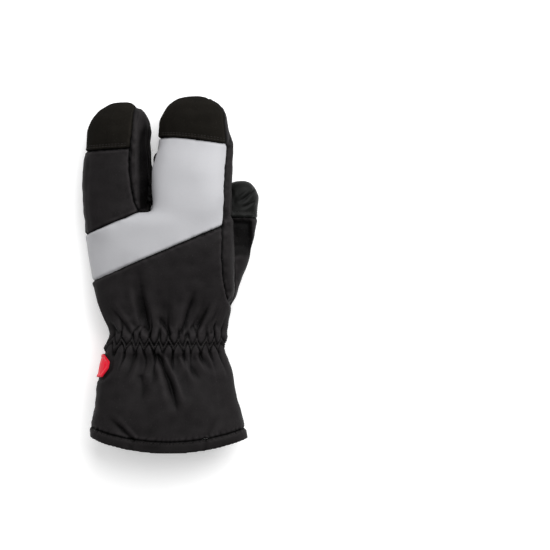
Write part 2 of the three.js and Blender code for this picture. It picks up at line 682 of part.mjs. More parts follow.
// A solid as a mesh of its own
function meshOf(name, solid) {
  const { vertProperties, triVerts } = solid.getMesh();
  const geometry = new THREE.BufferGeometry();
  geometry.setAttribute("position", new THREE.BufferAttribute(new Float32Array(vertProperties), 3));
  geometry.setIndex(new THREE.BufferAttribute(new Uint32Array(triVerts), 1));
  const finish = finishes[finishOf[name] ?? "softshell"];
  const mesh = new THREE.Mesh(geometry, new THREE.MeshStandardMaterial({ ...finish, metalness: 0 }));
  mesh.name = name;
  return mesh;
}

const mitt = new THREE.Group();
for (const [name, solid] of Object.entries(pieces)) mitt.add(meshOf(name, solid));

// The origin is under the middle of the mitt, on the surface that it lies on
const box = new THREE.Box3().setFromObject(mitt);
mitt.position.set(-(box.min.x + box.max.x) * half, -(box.min.y + box.max.y) * half, -box.min.z);

export default mitt;
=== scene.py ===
import math

import bmesh
import bpy
import numpy as np
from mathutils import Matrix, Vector
from mathutils.bvhtree import BVHTree
from mathutils.kdtree import KDTree


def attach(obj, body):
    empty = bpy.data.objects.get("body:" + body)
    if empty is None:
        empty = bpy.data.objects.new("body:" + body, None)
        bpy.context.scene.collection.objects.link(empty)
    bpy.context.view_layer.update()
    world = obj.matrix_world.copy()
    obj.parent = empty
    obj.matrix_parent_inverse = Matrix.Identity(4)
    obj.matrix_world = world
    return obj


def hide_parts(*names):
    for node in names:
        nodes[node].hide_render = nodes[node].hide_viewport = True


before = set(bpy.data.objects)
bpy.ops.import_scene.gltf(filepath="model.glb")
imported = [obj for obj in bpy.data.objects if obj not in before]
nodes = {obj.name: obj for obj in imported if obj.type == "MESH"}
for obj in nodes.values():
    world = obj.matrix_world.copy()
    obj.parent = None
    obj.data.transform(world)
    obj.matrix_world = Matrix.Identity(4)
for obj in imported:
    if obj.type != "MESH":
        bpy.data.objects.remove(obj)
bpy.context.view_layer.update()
mm = 0.001


# Small mesh helpers

def coordsOf(mesh):
    coords = np.empty(len(mesh.vertices) * 3)
    mesh.vertices.foreach_get("co", coords)
    return coords.reshape(-1, 3)


def setCoords(mesh, coords):
    mesh.vertices.foreach_set("co", np.ascontiguousarray(coords, dtype=np.float32).ravel())
    mesh.update()


def placed(name, data):
    piece = bpy.data.objects.new(name, data)
    bpy.context.scene.collection.objects.link(piece)
    return piece


def addObject(name, verts, faces, smooth=True):
    mesh = bpy.data.meshes.new(name)
    mesh.from_pydata([tuple(v) for v in verts], [], faces)
    mesh.validate()
    mesh.update()
    if smooth:
        mesh.shade_smooth()
    return placed(name, mesh)


def applyModifiers(piece):
    depsgraph = bpy.context.evaluated_depsgraph_get()
    mesh = bpy.data.meshes.new_from_object(piece.evaluated_get(depsgraph))
    old = piece.data
    piece.modifiers.clear()
    piece.data = mesh
    bpy.data.meshes.remove(old)


def remeshed(piece, voxel, smoothing=0):   # one closed mesh of even squares
    remesh = piece.modifiers.new("fuse", "REMESH")
    remesh.mode = "VOXEL"
    remesh.voxel_size = voxel * mm
    remesh.use_smooth_shade = True
    if smoothing:
        smooth = piece.modifiers.new("smooth", "SMOOTH")
        smooth.factor = 0.5
        smooth.iterations = smoothing
    applyModifiers(piece)


def facesOf(mesh):
    faces = np.empty(len(mesh.polygons) * 4, dtype=np.int64)
    mesh.loops.foreach_get("vertex_index", faces)
    return faces.reshape(-1, 4)


def summed(ids, values, size):   # adds up the rows of values that share a number
    return np.stack([np.bincount(ids, values[:, k], size) for k in range(values.shape[1])], 1)


def unit(vectors):
    return vectors / np.maximum(np.linalg.norm(vectors, axis=1), 1e-12)[:, None]


def pointNormals(coords, faces):
    a, b, c, d = (coords[faces[:, k]] for k in range(4))
    return unit(summed(faces.ravel(), np.repeat(np.cross(c - a, d - b), 4, axis=0), len(coords)))


def runOf(points):   # how far along a line each of its points lies
    return np.append(0, np.cumsum(np.linalg.norm(np.diff(points, axis=0), axis=1)))


def pointTree(points):
    tree = KDTree(len(points))
    for i, point in enumerate(points):
        tree.insert(Vector(point), i)
    tree.balance()
    return tree


def treeOf(names):   # the solids of some frame nodes, and which of them each face belongs to
    verts, polys, owners = [], [], []
    for number, name in enumerate(names):
        mesh = nodes[name].data
        start = len(verts)
        verts += [v.co.copy() for v in mesh.vertices]
        polys += [[start + i for i in p.vertices] for p in mesh.polygons]
        owners += [number] * len(mesh.polygons)
    return BVHTree.FromPolygons(verts, polys), owners


def bell(x, width):
    return np.exp(-(x / width) ** 2)


def ramp(x, low, high):
    t = np.clip((x - low) / (high - low), 0, 1)
    return t * t * (3 - 2 * t)


# The outer skin is measured off the frame's walls, ring by ring, then fused into one fine skin

tubes = {
    "sleeve": {
        "nodes": ["palm_panel", "back_panel_outer", "back_panel_lower", "reflective_panel", "side_panel",
                  "slit_wall_outer", "wrist_band_back", "wrist_band_palm", "cuff_back", "cuff_palm",
                  "hem_binding"],
        "axis": [(-129, 0, 25.5), (-95, 0, 25), (-53, -2, 24.7), (-20, -5, 25), (20, -9, 25.5), (48, -9, 26)],
        "halfWidth": 60, "halfDepth": 22, "stations": 150, "around": 220, "round": False,
    },
    "outerPod": {
        "nodes": ["palm_panel", "back_panel_outer", "fingertip_cap_outer", "slit_wall_outer"],
        "axis": [(36, -43, 19), (80, -43, 19), (110, -42, 19), (135.2, -37, 16)],
        "halfWidth": 26, "halfDepth": 18, "stations": 90, "around": 120, "round": True,
    },
    "innerPod": {
        "nodes": ["palm_panel", "reflective_panel", "fingertip_cap_inner", "slit_wall_inner", "side_panel"],
        "axis": [(36, 17, 29), (70, 18, 29), (100, 20, 25), (140.2, 19, 18)],
        "halfWidth": 32, "halfDepth": 18, "stations": 95, "around": 130, "round": True,
    },
    "thumb": {
        "nodes": ["thumb_cap", "thumb_inner_panel", "thumb_outer_panel"],
        "axis": [(-40, 24, 22), (-18, 33, 15), (15, 45, 12.5), (50, 53, 12.2), (74.4, 55.6, 11.6)],
        "halfWidth": 17, "halfDepth": 12.5, "stations": 90, "around": 90, "round": True,
    },
}
skin = {
    "voxel": 0.84, "smoothing": 22,
    "slitX": -14.2, "slitGap": 1.7, "slitFrom": 50,   # the slit between the pods: its middle, width and start
    "hemRings": 9, "hemStep": 2,                      # the sleeve runs on past the hem, where it is cut later
    "inset": 3, "sleeveEnd": 44, "sleeveFade": 4, "podFade": 6,   # ends inside another tube are drawn in
}
rays = {   # in metres, then as shares: of the half width, of the rays, and how endwise a face looks
    "longest": 0.09, "skip": 0.00005, "wall": 0.012, "farthest": 1.45, "fewest": 0.2, "endwise": 0.9,
}


def measuredRing(tree, centre, tube):
    around = tube["around"]
    found = np.full(around, np.nan)
    limit = np.empty(around)
    directions = []
    for i in range(around):
        angle = 2 * math.pi * i / around
        ray = Vector((math.cos(angle) * tube["halfWidth"], 0, math.sin(angle) * tube["halfDepth"]))
        limit[i] = ray.length
        ray.normalize()
        directions.append(ray)
        hit = tree.ray_cast(centre, ray, rays["longest"])
        if hit[0] is None:
            continue
        if hit[1].dot(ray) > 0:   # past the hollow the ray starts inside the wall
            if abs(hit[1].x) < rays["endwise"]:   # a panel's cut end is left out
                found[i] = hit[3] / mm
            continue
        through = tree.ray_cast(hit[0] + ray * rays["skip"], ray, rays["wall"])
        if through[0] is not None:
            found[i] = (through[0] - centre).length / mm
    found[~(found < limit * rays["farthest"])] = np.nan
    good = np.flatnonzero(~np.isnan(found))
    if len(good) < around * rays["fewest"]:
        return None
    found = np.interp(np.arange(around), np.concatenate([good - around, good, good + around]),
                      np.tile(found[good], 3))
    return [centre + ray * (radius * mm) for ray, radius in zip(directions, found)]


def measuredTube(name):
    tube = tubes[name]
    around = tube["around"]
    tree = treeOf(tube["nodes"])[0]
    axis = np.array(tube["axis"], dtype=float)
    low, high = axis[0, 0], axis[-1, 0]
    rings = []
    for k in range(tube["stations"]):
        share = k / (tube["stations"] - 1)
        if tube["round"]:   # rings stand closer towards a round end
            share = math.sin(share * math.pi / 2) * 0.6 + share * 0.4
        y = low + (high - low) * share
        x, z = (np.interp(y, axis[:, 0], axis[:, i]) for i in (1, 2))
        ring = measuredRing(tree, Vector((x, y, z)) * mm, tube)
        if ring:
            rings.append(ring)
    if name == "sleeve":
        for extra in range(skin["hemRings"]):
            rings.insert(0, [point + Vector((0, -skin["hemStep"] * mm, 0)) for point in rings[0]])
    side = {"outerPod": -1, "innerPod": 1}.get(name, 0)   # the side of the slit that a pod stays on
    edge = (skin["slitX"] + side * skin["slitGap"] / 2) * mm
    for ring in rings:
        y = ring[0].y / mm
        if name == "sleeve":
            inset = skin["inset"] * max(y - skin["sleeveEnd"], 0) / skin["sleeveFade"]
        else:
            inset = skin["inset"] * max(low + skin["podFade"] - y, 0) / skin["podFade"]
        middle = sum(ring, Vector()) / len(ring)
        for point in ring:
            point -= (point - middle).normalized() * inset * mm
            if side and point.y / mm > skin["slitFrom"] and (point.x - edge) * side < 0:
                point.x = edge
    verts = [point for ring in rings for point in ring]
    faces = []
    for r in range(len(rings) - 1):
        a, b = r * around, (r + 1) * around
        faces += [(a + i, b + i, b + (i + 1) % around, a + (i + 1) % around) for i in range(around)]
    for r, turn in ((0, 1), (len(rings) - 1, -1)):
        hub = len(verts)
        verts.append(sum(rings[r], Vector()) / around)
        faces += [(hub, r * around + i, r * around + (i + 1) % around)[::turn] for i in range(around)]
    return addObject("measured_" + name, verts, faces)


web = {   # fills the fork between the pods: outline in y and z, and its sides in x
    "outline": [(25, 3.2), (62, 4.2), (63.5, 7), (60, 15), (54.5, 23), (50.5, 32), (46, 36), (25, 38)],
    "sides": [(-27, 2.0), (-2, 5.0)],   # x and how far it is lifted
}


def makeWeb():
    verts = [(x * mm, y * mm, (z + lift) * mm) for x, lift in web["sides"] for y, z in web["outline"]]
    n = len(web["outline"])
    faces = [tuple(range(n)), tuple(range(2 * n - 1, n - 1, -1))]
    faces += [(i, n + i, n + (i + 1) % n, (i + 1) % n) for i in range(n)]
    return addObject("web", verts, faces)


tips = {
    "from": 99, "to": 124, "outer": 3.6, "outerAtSlit": 1.4, "inner": 2.8,
    "shoulderX": -22.5, "shoulderWidth": 5.5, "shoulderPush": 3.2,   # the slit wall's round top
    "shoulderFrom": 112, "shoulderTo": 126,
}


def fullTips(points, normals):   # the padded finger ends are pushed out until they are round and full
    x, y = points[:, 0] / mm, points[:, 1] / mm
    outer = x < skin["slitX"]
    atSlit = tips["outer"] + (tips["outerAtSlit"] - tips["outer"]) * normals[:, 0]
    most = np.where(outer, np.where(normals[:, 0] > 0, atSlit, tips["outer"]), tips["inner"])
    moved = normals * [1, 1, 0] * (most * ramp(y, tips["from"], tips["to"]) * mm)[:, None]
    shoulder = bell(x - tips["shoulderX"], tips["shoulderWidth"])
    shoulder = shoulder * ramp(y, tips["shoulderFrom"], tips["shoulderTo"]) * outer
    moved[:, 1] += tips["shoulderPush"] * mm * shoulder * np.clip(normals[:, 1], 0, 1)
    return moved


def makeSkin():
    parts = [measuredTube(name) for name in tubes] + [makeWeb()]
    bpy.ops.object.select_all(action="DESELECT")
    for part in parts:
        part.select_set(True)
    bpy.context.view_layer.objects.active = parts[0]
    bpy.ops.object.join()
    piece = parts[0]
    piece.name = "skin"
    remeshed(piece, skin["voxel"], skin["smoothing"])
    points = coordsOf(piece.data)
    points += fullTips(points, pointNormals(points, facesOf(piece.data)))
    setCoords(piece.data, points)
    print("skin:", len(piece.data.vertices), "points")
    return piece


whole = makeSkin()
bare = BVHTree.FromObject(whole, bpy.context.evaluated_depsgraph_get())


# The cuff is opened at its hem and at its vent

cuffCut = {
    "hemMiddle": -140.9,   # the lowest point of the hem
    "hemBow": 10.5,
    "hemHalfWidth": 61.5,
    "hemNear": 3,          # an edge this near the hem is drawn onto it
    "ventLeft": [(40.4, -61.7), (37.1, -68.7), (36.3, -78.4), (29.5, -111.6), (23.4, -152.4)],
    "ventRight": [(42.9, -66.6), (41.9, -78.4), (32.4, -111.6), (25.9, -152.4)],
}


def hemY(x):
    return cuffCut["hemMiddle"] + cuffCut["hemBow"] * np.minimum((x / cuffCut["hemHalfWidth"]) ** 2, 1.4)


def openCuff(coords, faces):
    centre = coords[faces].mean(axis=1) / mm
    past = centre[:, 1] < hemY(centre[:, 0])
    left, right = np.array(cuffCut["ventLeft"])[::-1], np.array(cuffCut["ventRight"])[::-1]
    inVent = (centre[:, 2] < 20) & (centre[:, 1] < cuffCut["ventLeft"][0][1])
    inVent &= centre[:, 0] > np.interp(centre[:, 1], left[:, 1], left[:, 0])
    inVent &= centre[:, 0] < np.interp(centre[:, 1], right[:, 1], right[:, 0])
    faces = faces[~(past | inVent)]
    used, faces = np.unique(faces, return_inverse=True)
    return coords[used], faces.reshape(-1, 4)


def edgesOf(faces):   # edges as pairs of points, the one or two faces beside each, and each face's four edges
    a, b = faces.ravel(), np.roll(faces, -1, axis=1).ravel()
    key = np.minimum(a, b) * (1 << 32) + np.maximum(a, b)
    keys, edge = np.unique(key, return_inverse=True)
    order = np.argsort(edge, kind="stable")
    starts = np.searchsorted(edge[order], np.arange(len(keys)))
    ends = np.append(starts[1:], len(order))
    owner = order // 4
    second = owner[np.minimum(starts + 1, len(order) - 1)]
    beside = np.stack([owner[starts], np.where(ends - starts > 1, second, -1)], 1)
    return np.stack([keys >> 32, keys & 0xFFFFFFFF], 1), beside, edge.reshape(-1, 4)


def meanOfNeighbours(coords, edges):
    a, b = edges[:, 0], edges[:, 1]
    count = np.bincount(edges.ravel(), minlength=len(coords))
    total = summed(a, coords[b], len(coords)) + summed(b, coords[a], len(coords))
    return total / np.maximum(count, 1)[:, None], count


def relax(coords, edges, movable, steps, share=0.5):
    for step in range(steps):
        mean, count = meanOfNeighbours(coords, edges)
        moving = movable & (count > 1)
        coords[moving] += (mean[moving] - coords[moving]) * share


def onSkin(coords, which):
    for i in np.flatnonzero(which):
        coords[i] = bare.find_nearest(Vector(coords[i]))[0]


# Each face takes the name of the frame's nearest panel, and the seams are drawn through the gaps between them

sewnOn = ["palm_patch_upper", "palm_patch_lower", "closure_strap", "side_label"]
panels = [name for name in nodes if name not in sewnOn]
gussetTop = np.array([   # the side panel runs on round the inner pod's tip: x and y of its edge
    (44.4, 99), (44.3, 125), (43.4, 129), (40.8, 133), (36.5, 137), (30, 141)])


def labelsOf(coords, faces):
    tree, owners = treeOf(panels)
    centres = coords[faces].mean(axis=1)
    found = np.array([owners[tree.find_nearest(Vector(c))[2]] for c in centres])
    x, y = centres[:, 0] / mm, centres[:, 1] / mm
    past = (y > gussetTop[0, 1]) & (x > np.interp(y, gussetTop[:, 1], gussetTop[:, 0]))
    found[past & (found == panels.index("fingertip_cap_inner"))] = panels.index("side_panel")
    return found


def cleaned(labels, beside, faceEdges, steps):   # a face goes over to the panel of three of its neighbours
    for step in range(steps):
        pairs = beside[faceEdges]
        other = np.where(pairs[:, :, 0] == np.arange(len(labels))[:, None], pairs[:, :, 1], pairs[:, :, 0])
        near = np.where(other >= 0, labels[other], labels[:, None])
        near.sort(axis=1)
        labels = np.where(near[:, 1] == near[:, 3], near[:, 1], labels)
        labels = np.where(near[:, 0] == near[:, 2], near[:, 0], labels)
    return labels


def withoutIslands(labels, beside, least):   # a scrap of a panel goes to the panel round it
    links = beside[beside[:, 1] >= 0]
    same = links[labels[links[:, 0]] == labels[links[:, 1]]]
    group = np.arange(len(labels))
    while True:
        low = np.minimum(group[same[:, 0]], group[same[:, 1]])
        lower = group.copy()
        np.minimum.at(lower, same[:, 0], low)
        np.minimum.at(lower, same[:, 1], low)
        lower = lower[lower]
        if (lower == group).all():
            break
        group = lower
    small = np.bincount(group, minlength=len(labels))[group] < least
    while small.any():
        for here, there in ((0, 1), (1, 0)):
            found = links[small[links[:, here]] & ~small[links[:, there]]]
            labels[found[:, here]] = labels[found[:, there]]
            small[found[:, here]] = False
    return labels


drawn = {"farthest": 1.6, "even": 26, "spread": 4, "settle": 10}   # a distance, then steps


def drawSeams(coords, edges, beside, labels):
    between = (beside[:, 1] >= 0) & (labels[beside[:, 0]] != labels[beside[:, 1]])
    seamEdges = edges[between]
    pairs = np.sort(labels[beside[between]], axis=1)
    degree = np.bincount(seamEdges.ravel(), minlength=len(coords))
    touching = {}
    for (a, b), pair in zip(seamEdges, pairs):
        for i in (a, b):
            touching.setdefault(i, set()).update(pair.tolist())
    trees = [treeOf([name])[0] for name in panels]
    for i, near in touching.items():
        hits = [trees[k].find_nearest(Vector(coords[i]))[0] for k in near]
        middle = sum(hits, Vector()) / len(hits)
        if (middle - Vector(coords[i])).length < drawn["farthest"] * mm:
            coords[i] = middle
    onSeam = degree > 0
    relax(coords, seamEdges, degree == 2, drawn["even"])
    onSkin(coords, onSeam)
    close = onSeam.copy()
    for step in range(drawn["spread"]):
        grown = close.copy()
        grown[edges[close[edges[:, 0]], 1]] = True
        grown[edges[close[edges[:, 1]], 0]] = True
        close = grown
    close &= ~onSeam
    close[edges[beside[:, 1] < 0].ravel()] = False
    relax(coords, edges, close, drawn["settle"])
    onSkin(coords, close)
    return seamEdges, pairs


def chainsOf(pairs):   # runs of linked numbers, open or closed
    links = {}
    for a, b in pairs.tolist():
        links.setdefault(a, []).append(b)
        links.setdefault(b, []).append(a)
    ends = [i for i, near in links.items() if len(near) != 2] + list(links)
    done = set()
    lines = []
    for start in ends:
        for after in links[start]:
            if (start, after) in done:
                continue
            line = [start]
            before, here = start, after
            while True:
                done.update(((before, here), (here, before)))
                line.append(here)
                onward = [i for i in links[here] if i != before and (here, i) not in done]
                if len(links[here]) != 2 or not onward:
                    break
                before, here = here, onward[0]
            if len(line) > 6:
                lines.append(line)
    return lines


def chained(seamEdges, pairs):
    lines = []
    for pair in sorted({tuple(p) for p in pairs.tolist()}):
        lines += [(pair, line) for line in chainsOf(seamEdges[(pairs == pair).all(axis=1)])]
    return lines


coords, faces = openCuff(coordsOf(whole.data), facesOf(whole.data))
edges, beside, faceEdges = edgesOf(faces)
rimEdges = edges[beside[:, 1] < 0]
onRim = np.zeros(len(coords), bool)
onRim[rimEdges.ravel()] = True
atHem = onRim & (np.abs(coords[:, 1] / mm - hemY(coords[:, 0] / mm)) < cuffCut["hemNear"])
coords[atHem, 1] = hemY(coords[atHem, 0] / mm) * mm
relax(coords, rimEdges, onRim, 6)
labels = withoutIslands(cleaned(labelsOf(coords, faces), beside, faceEdges, 8), beside, 500)
seamEdges, seamPairs = drawSeams(coords, edges, beside, labels)
seamLines = chained(seamEdges, seamPairs)
print("seams:", len(seamLines), "lines,", len(faces), "faces")


def pointsOn(names):   # which points of the skin lie on any of these panels
    chosen = np.zeros(len(coords), bool)
    chosen[faces[np.isin(labels, [panels.index(name) for name in names])].ravel()] = True
    return chosen


# The fill pushes the panels out between their seams: a coarse copy of the skin is simulated as cloth under
# pressure, held along the seams and the elastic, and its movement is carried over to the fine skin

puff = {
    "voxel": 2.6, "pressure": 4.0, "frames": 20, "mass": 0.04, "quality": 6,
    "heldWidth": 2.2,          # cloth this near a seam is held
    "looseness": 0.16,         # the cloth beyond the elastic is this much longer than its place
    "looseFrom": 9.0, "looseReach": 42.0,
    "mostOut": 2.6, "mostIn": 1.8, "wide": 2,
    "near": 5, "nearest": 0.0004,   # how many points carry the movement over, and how evenly
}
elastic = (-48.2, -61.0)       # the two edges of the elastic band round the wrist


def heldAndLoose(place, seams):
    away = seams.find(Vector(place))[2] / mm
    beyond = max(place[1] / mm - elastic[0], elastic[1] - place[1] / mm)
    held = 1 if beyond < 2 else math.exp(-(away / puff["heldWidth"]) ** 2)
    past = max(beyond - puff["looseFrom"], 0)
    loose = math.exp(-(past / puff["looseReach"]) ** 2) if beyond > 0 else 0
    return held, loose


def puffedSkin(coords, seamPoints):
    seams = pointTree(seamPoints)
    pad = placed("pad", whole.data.copy())
    remeshed(pad, puff["voxel"])
    start = coordsOf(pad.data)
    groups = [pad.vertex_groups.new(name=label) for label in ("held", "loose")]
    for i, place in enumerate(start):
        for group, weight in zip(groups, heldAndLoose(place, seams)):
            group.add([i], weight, "REPLACE")
    cloth = pad.modifiers.new("cloth", "CLOTH")
    settings = cloth.settings
    settings.quality = puff["quality"]
    settings.mass = puff["mass"]
    settings.vertex_group_mass = "held"
    settings.vertex_group_shrink = "loose"
    settings.shrink_min = 0
    settings.shrink_max = -puff["looseness"]
    settings.use_pressure = True
    settings.uniform_pressure_force = puff["pressure"]
    settings.effector_weights.gravity = 0
    for moment in range(1, puff["frames"] + 1):
        bpy.context.scene.frame_set(moment)
    applyModifiers(pad)
    faces = facesOf(pad.data)
    edges = edgesOf(faces)[0]
    rise = ((coordsOf(pad.data) - start) * pointNormals(start, faces)).sum(axis=1) / mm
    print("cloth: moved", rise.min().round(2), "to", rise.max().round(2), "mm,", len(start), "points")
    rise = np.clip(rise, -puff["mostIn"], puff["mostOut"])[:, None]
    for step in range(puff["wide"]):
        rise = (rise + meanOfNeighbours(rise, edges)[0]) / 2
    near = pointTree(start)
    carried = np.empty(len(coords))
    for i, place in enumerate(coords):
        found = near.find_n(Vector(place), puff["near"])
        weights = np.array([1 / (f[2] + puff["nearest"]) ** 2 for f in found])
        carried[i] = (rise[[f[1] for f in found], 0] * weights).sum() / weights.sum()
    bpy.data.objects.remove(pad)
    bpy.context.scene.frame_set(1)
    return carried


# Relief: seams pull in, panels swell, the elastic gathers the wrist, and folds run out of it

relief = {
    "wristY": -53, "wristReach": 13, "wristSteps": 60,     # the wrist is evened out before it is gathered
    "grooveDepth": 0.8, "grooveWidth": 0.9,
    "ridgeHeight": 0.22, "ridgeAt": 2.0, "ridgeWidth": 1.1,
    "swell": 0.35, "swellReach": 7.0, "swellY": (-75, -40),
    "pucker": 0.20, "puckerLength": 6.0, "puckerReach": 4.0, "filmPucker": 0.3,
    "hemDepth": 0.5, "hemWidth": 0.42, "hemPucker": 0.45, "hemPitch": 4.6, "tuckAt": 1.2, "tuckWidth": 1.8,
    "uneven": [(0.35, 34, 6), (0.12, 12, 7)],              # broad unevenness: height, length, seed
    "slitSink": 7.0, "slitX": (-27.0, -16.5),              # the slit's wall falls away towards the inner pod
    "thumbSink": 5.0, "thumbX": (46, 51, 61, 67), "thumbY": (12, 24, 41, 46),   # behind the hand's edge
    "deepShade": 2.2, "deepShadeUpTo": (104, 122),                   # painted shade added on the slit's wall and behind the hand's edge, fading out over these y
    "shoulders": [(-23.0, 131.0), (46.5, 118.0)],          # smooth round ends
    "shoulderReach": 8.5, "shoulderSteps": 80,
    "rowDepth": 0.16, "rowWidth": 0.55,                    # the cloth under a row of stitches
    "filmFrom": 1.5, "filmReach": 6.0, "filmSteps": 120,   # the coated panel is stiffer and lies smooth
    "trimFrom": 1.8, "trimReach": 5.0, "trimSink": -0.45,  # the cloth lies flat under what is sewn on
    "gathersEnd": (-44, -30),                              # up to here the gathers run onto the thumb
    "restHeight": 0.08, "evenSteps": 24,
}
wristRing = {"halfWidth": 43, "halfDepth": 19, "square": 0.85, "x": -2, "z": 24.7, "radius": 33}
gather = {
    "count": 27, "wobble": [(0.9, 40, 11), (0.5, 17, 12)],   # puckers, and ripples: size, length, seed
    "depth": 3.8, "fade": 5.5, "uneven": (0.25, 11, 14), "lean": (1.3, 13, 13),
    "swing": 3.9, "ridge": 1.2,            # the sewn zigzag's height, and its ridge's half width
    "point": 2.4,                          # how pointed the folds end between its strokes
    "tuck": 0.30, "tuckDepth": 1.25,       # how narrow and how deep the tucks are that run into its peaks
    "foot": (-0.3, 4.7),                   # where the folds begin to rise, and where they are full
    "runs": [(13, 1.0, 14.0), (7, 0.7, 26.0)],   # wider folds beyond the rows: count, depth, fade
    "runFrom": 7, "farthest": 60,
}
folds = {   # valleys: points from the elastic outwards, depth, half width, ridge right (1) or left (-1)
    "back": [
        ([(-14.0, -49.8), (-19.2, -34.6), (-22.1, -18), (-23.5, 8)], 3.2, 4.4, -1),
        ([(2, -48.2), (-3.5, -40.2), (-7.8, -31)], 2.0, 2.0, -1),
        ([(8.7, -47.4), (13.7, -35.7), (17.5, -24.8), (21.5, -8)], 2.6, 3.0, 1),
        ([(-27.5, -49.8), (-36, -38.5), (-45.1, -27.3), (-49.9, -20.2)], 1.7, 2.6, 1),
        ([(-38, -47), (-43, -42.6), (-47.2, -35.4)], 1.2, 2.0, 1),
        ([(21.3, -45.8), (25.9, -35.4), (30.1, -27.4), (34.9, -15.4)], 1.6, 2.4, 1),
        ([(33, -47), (35, -41), (39, -36)], 1.3, 2.0, -1),
        ([(-9.9, -60.2), (-4.3, -73), (0.5, -83.4), (4.8, -98.6), (10, -116)], 4.0, 3.2, -1),
        ([(10.4, -62), (18.9, -75), (28.8, -87)], 1.3, 2.8, 1),
        ([(22.9, -61.4), (32.9, -73.7), (37, -80)], 1.1, 2.4, 1),
        ([(-26.1, -131.3), (-40.2, -118.6), (-51.5, -108.8)], 1.5, 2.6, 1),
        ([(-27.5, -61.8), (-31, -75), (-38, -88)], 1.1, 3.0, -1),
        ([(-22, -78), (-20, -92), (-21.9, -104)], 1.0, 4.5, -1),
        ([(40, -64), (46, -78), (50, -92)], 0.8, 3.0, -1),
        ([(67, 68), (60, 61.5), (53, 56)], 1.5, 1.6, 1),
        ([(68, 59), (62, 55.5), (55, 53)], 0.9, 1.3, -1),
        ([(30, -128), (36, -116), (44, -106)], 0.7, 4.0, 1),
    ],
    "palm": [
        ([(-28, -48), (-26, -38), (-24, -26), (-22, -14)], 1.2, 2.6, 1),
        ([(-8, -48), (-6, -36), (-7, -20)], 1.2, 2.4, -1),
        ([(8, -48), (12, -36), (17, -24)], 1.2, 2.4, 1),
        ([(24, -47), (30, -36), (33, -26)], 1.4, 2.6, 1),
        ([(-20, -62), (-22, -78), (-26, -92)], 1.2, 3.0, 1),
        ([(2, -62), (-4, -80), (-6, -98)], 1.2, 3.0, -1),
        ([(18, -62), (16, -74), (12, -84)], 1.2, 2.4, -1),
        ([(-38, 62), (-28, 70), (-20, 72)], 0.9, 4.0, 1),
        ([(-40, 82), (-30, 88), (-24, 88)], 0.7, 4.0, 1),
    ],
}
stitchRows = {   # on which panel, beside which panels' seam, and how far from it each row runs
    "cap_outer": {"on": "fingertip_cap_outer", "beside": ["back_panel_outer"], "offsets": [2.3, 4.0]},
    "cap_inner": {"on": "fingertip_cap_inner", "beside": ["reflective_panel"], "offsets": [2.3, 4.0]},
    "cap_thumb": {"on": "thumb_cap", "beside": ["thumb_outer_panel", "thumb_inner_panel"], "offsets": [4.6]},
    "hem": {"on": "hem_binding", "beside": ["cuff_back", "cuff_palm"], "offsets": [1.5]},
    "back": {"on": "back_panel_lower", "beside": ["reflective_panel"], "offsets": [1.3]},
}


def measureRow(row):   # each point's distance from the row's seam, or a large one where no row runs
    pairs = [tuple(sorted((panels.index(row["on"]), panels.index(other)))) for other in row["beside"]]
    tree = pointTree([coords[i] for pair, line in seamLines if pair in pairs for i in line])
    away = np.full(len(coords), 99.0)
    for i in np.flatnonzero(pointsOn([row["on"]])):
        away[i] = tree.find(Vector(coords[i]))[2] / mm
    return away


def ripple(points, wavelength, seed, count=26):   # a smooth random field of unit size
    draw = np.random.default_rng(seed)
    total = np.zeros(len(points))
    for k in range(count):
        direction = draw.normal(size=points.shape[1])
        direction *= 2 * math.pi * draw.uniform(0.75, 1.3) / (np.linalg.norm(direction) * wavelength)
        total += np.sin(points @ direction + draw.uniform(0, 2 * math.pi))
    return total / math.sqrt(count / 2)


def rippled(points, size, wavelength, seed):
    return size * ripple(points, wavelength, seed)


def seamDistances(points, lines):   # how far the nearest line is, and how far along it that place lies
    tree = pointTree(np.concatenate([coords[line] for pair, line in lines]))
    runs = np.concatenate([runOf(coords[line]) for pair, line in lines]) / mm
    found = [tree.find(Vector(p)) for p in points]
    return np.array([f[2] for f in found]) / mm, runs[[f[1] for f in found]]


foldShape = {   # shares of a fold's length, then of its half width
    "points": 60, "smoothing": 10, "rise": (-0.02, 0.08), "fade": (0.45, 1.0), "end": (0, 0.15),
    "narrow": 0.6, "widen": 0.6, "sharp": 1.35,
    "ridges": [(1.7, 0.6), (-2, 0.2)],   # where the cloth rises beside the valley, and how high
}


def foldDepths(x, y, table):
    total = np.zeros(len(x))
    for line, depth, width, side in table:
        line = np.array(line, dtype=float)
        run = runOf(line)
        fine = np.linspace(0, run[-1], foldShape["points"])
        path = np.stack([np.interp(fine, run, line[:, k]) for k in range(2)], 1)
        for step in range(foldShape["smoothing"]):
            path[1:-1] = (path[:-2] + path[2:]) / 2
        near = (np.abs(y - path[:, 1].mean()) < run[-1]) & (np.abs(x - path[:, 0].mean()) < run[-1] + 20)
        ids = np.flatnonzero(near)
        offset = np.stack([x[ids], y[ids]], 1)[:, None, :] - path[None]
        length = np.linalg.norm(offset, axis=2)
        best = length.argmin(axis=1)
        away = length[np.arange(len(ids)), best]
        heading = np.gradient(path, axis=0)[best]
        chosen = offset[np.arange(len(ids)), best]
        right = np.sign(heading[:, 1] * chosen[:, 0] - heading[:, 0] * chosen[:, 1]) * side
        share = fine[best] / run[-1]
        strength = ramp(share, *foldShape["rise"]) * (1 - ramp(share, *foldShape["fade"]))
        strength = strength * ramp(1 - share, *foldShape["end"])
        narrow = width * (foldShape["narrow"] + foldShape["widen"] * share)
        valley = np.exp(-(away / narrow) ** foldShape["sharp"])
        across = away * right
        ridge = sum(bell(across - at * narrow, narrow) * high for at, high in foldShape["ridges"])
        total[ids] += depth * strength * (ridge - valley)
    return total


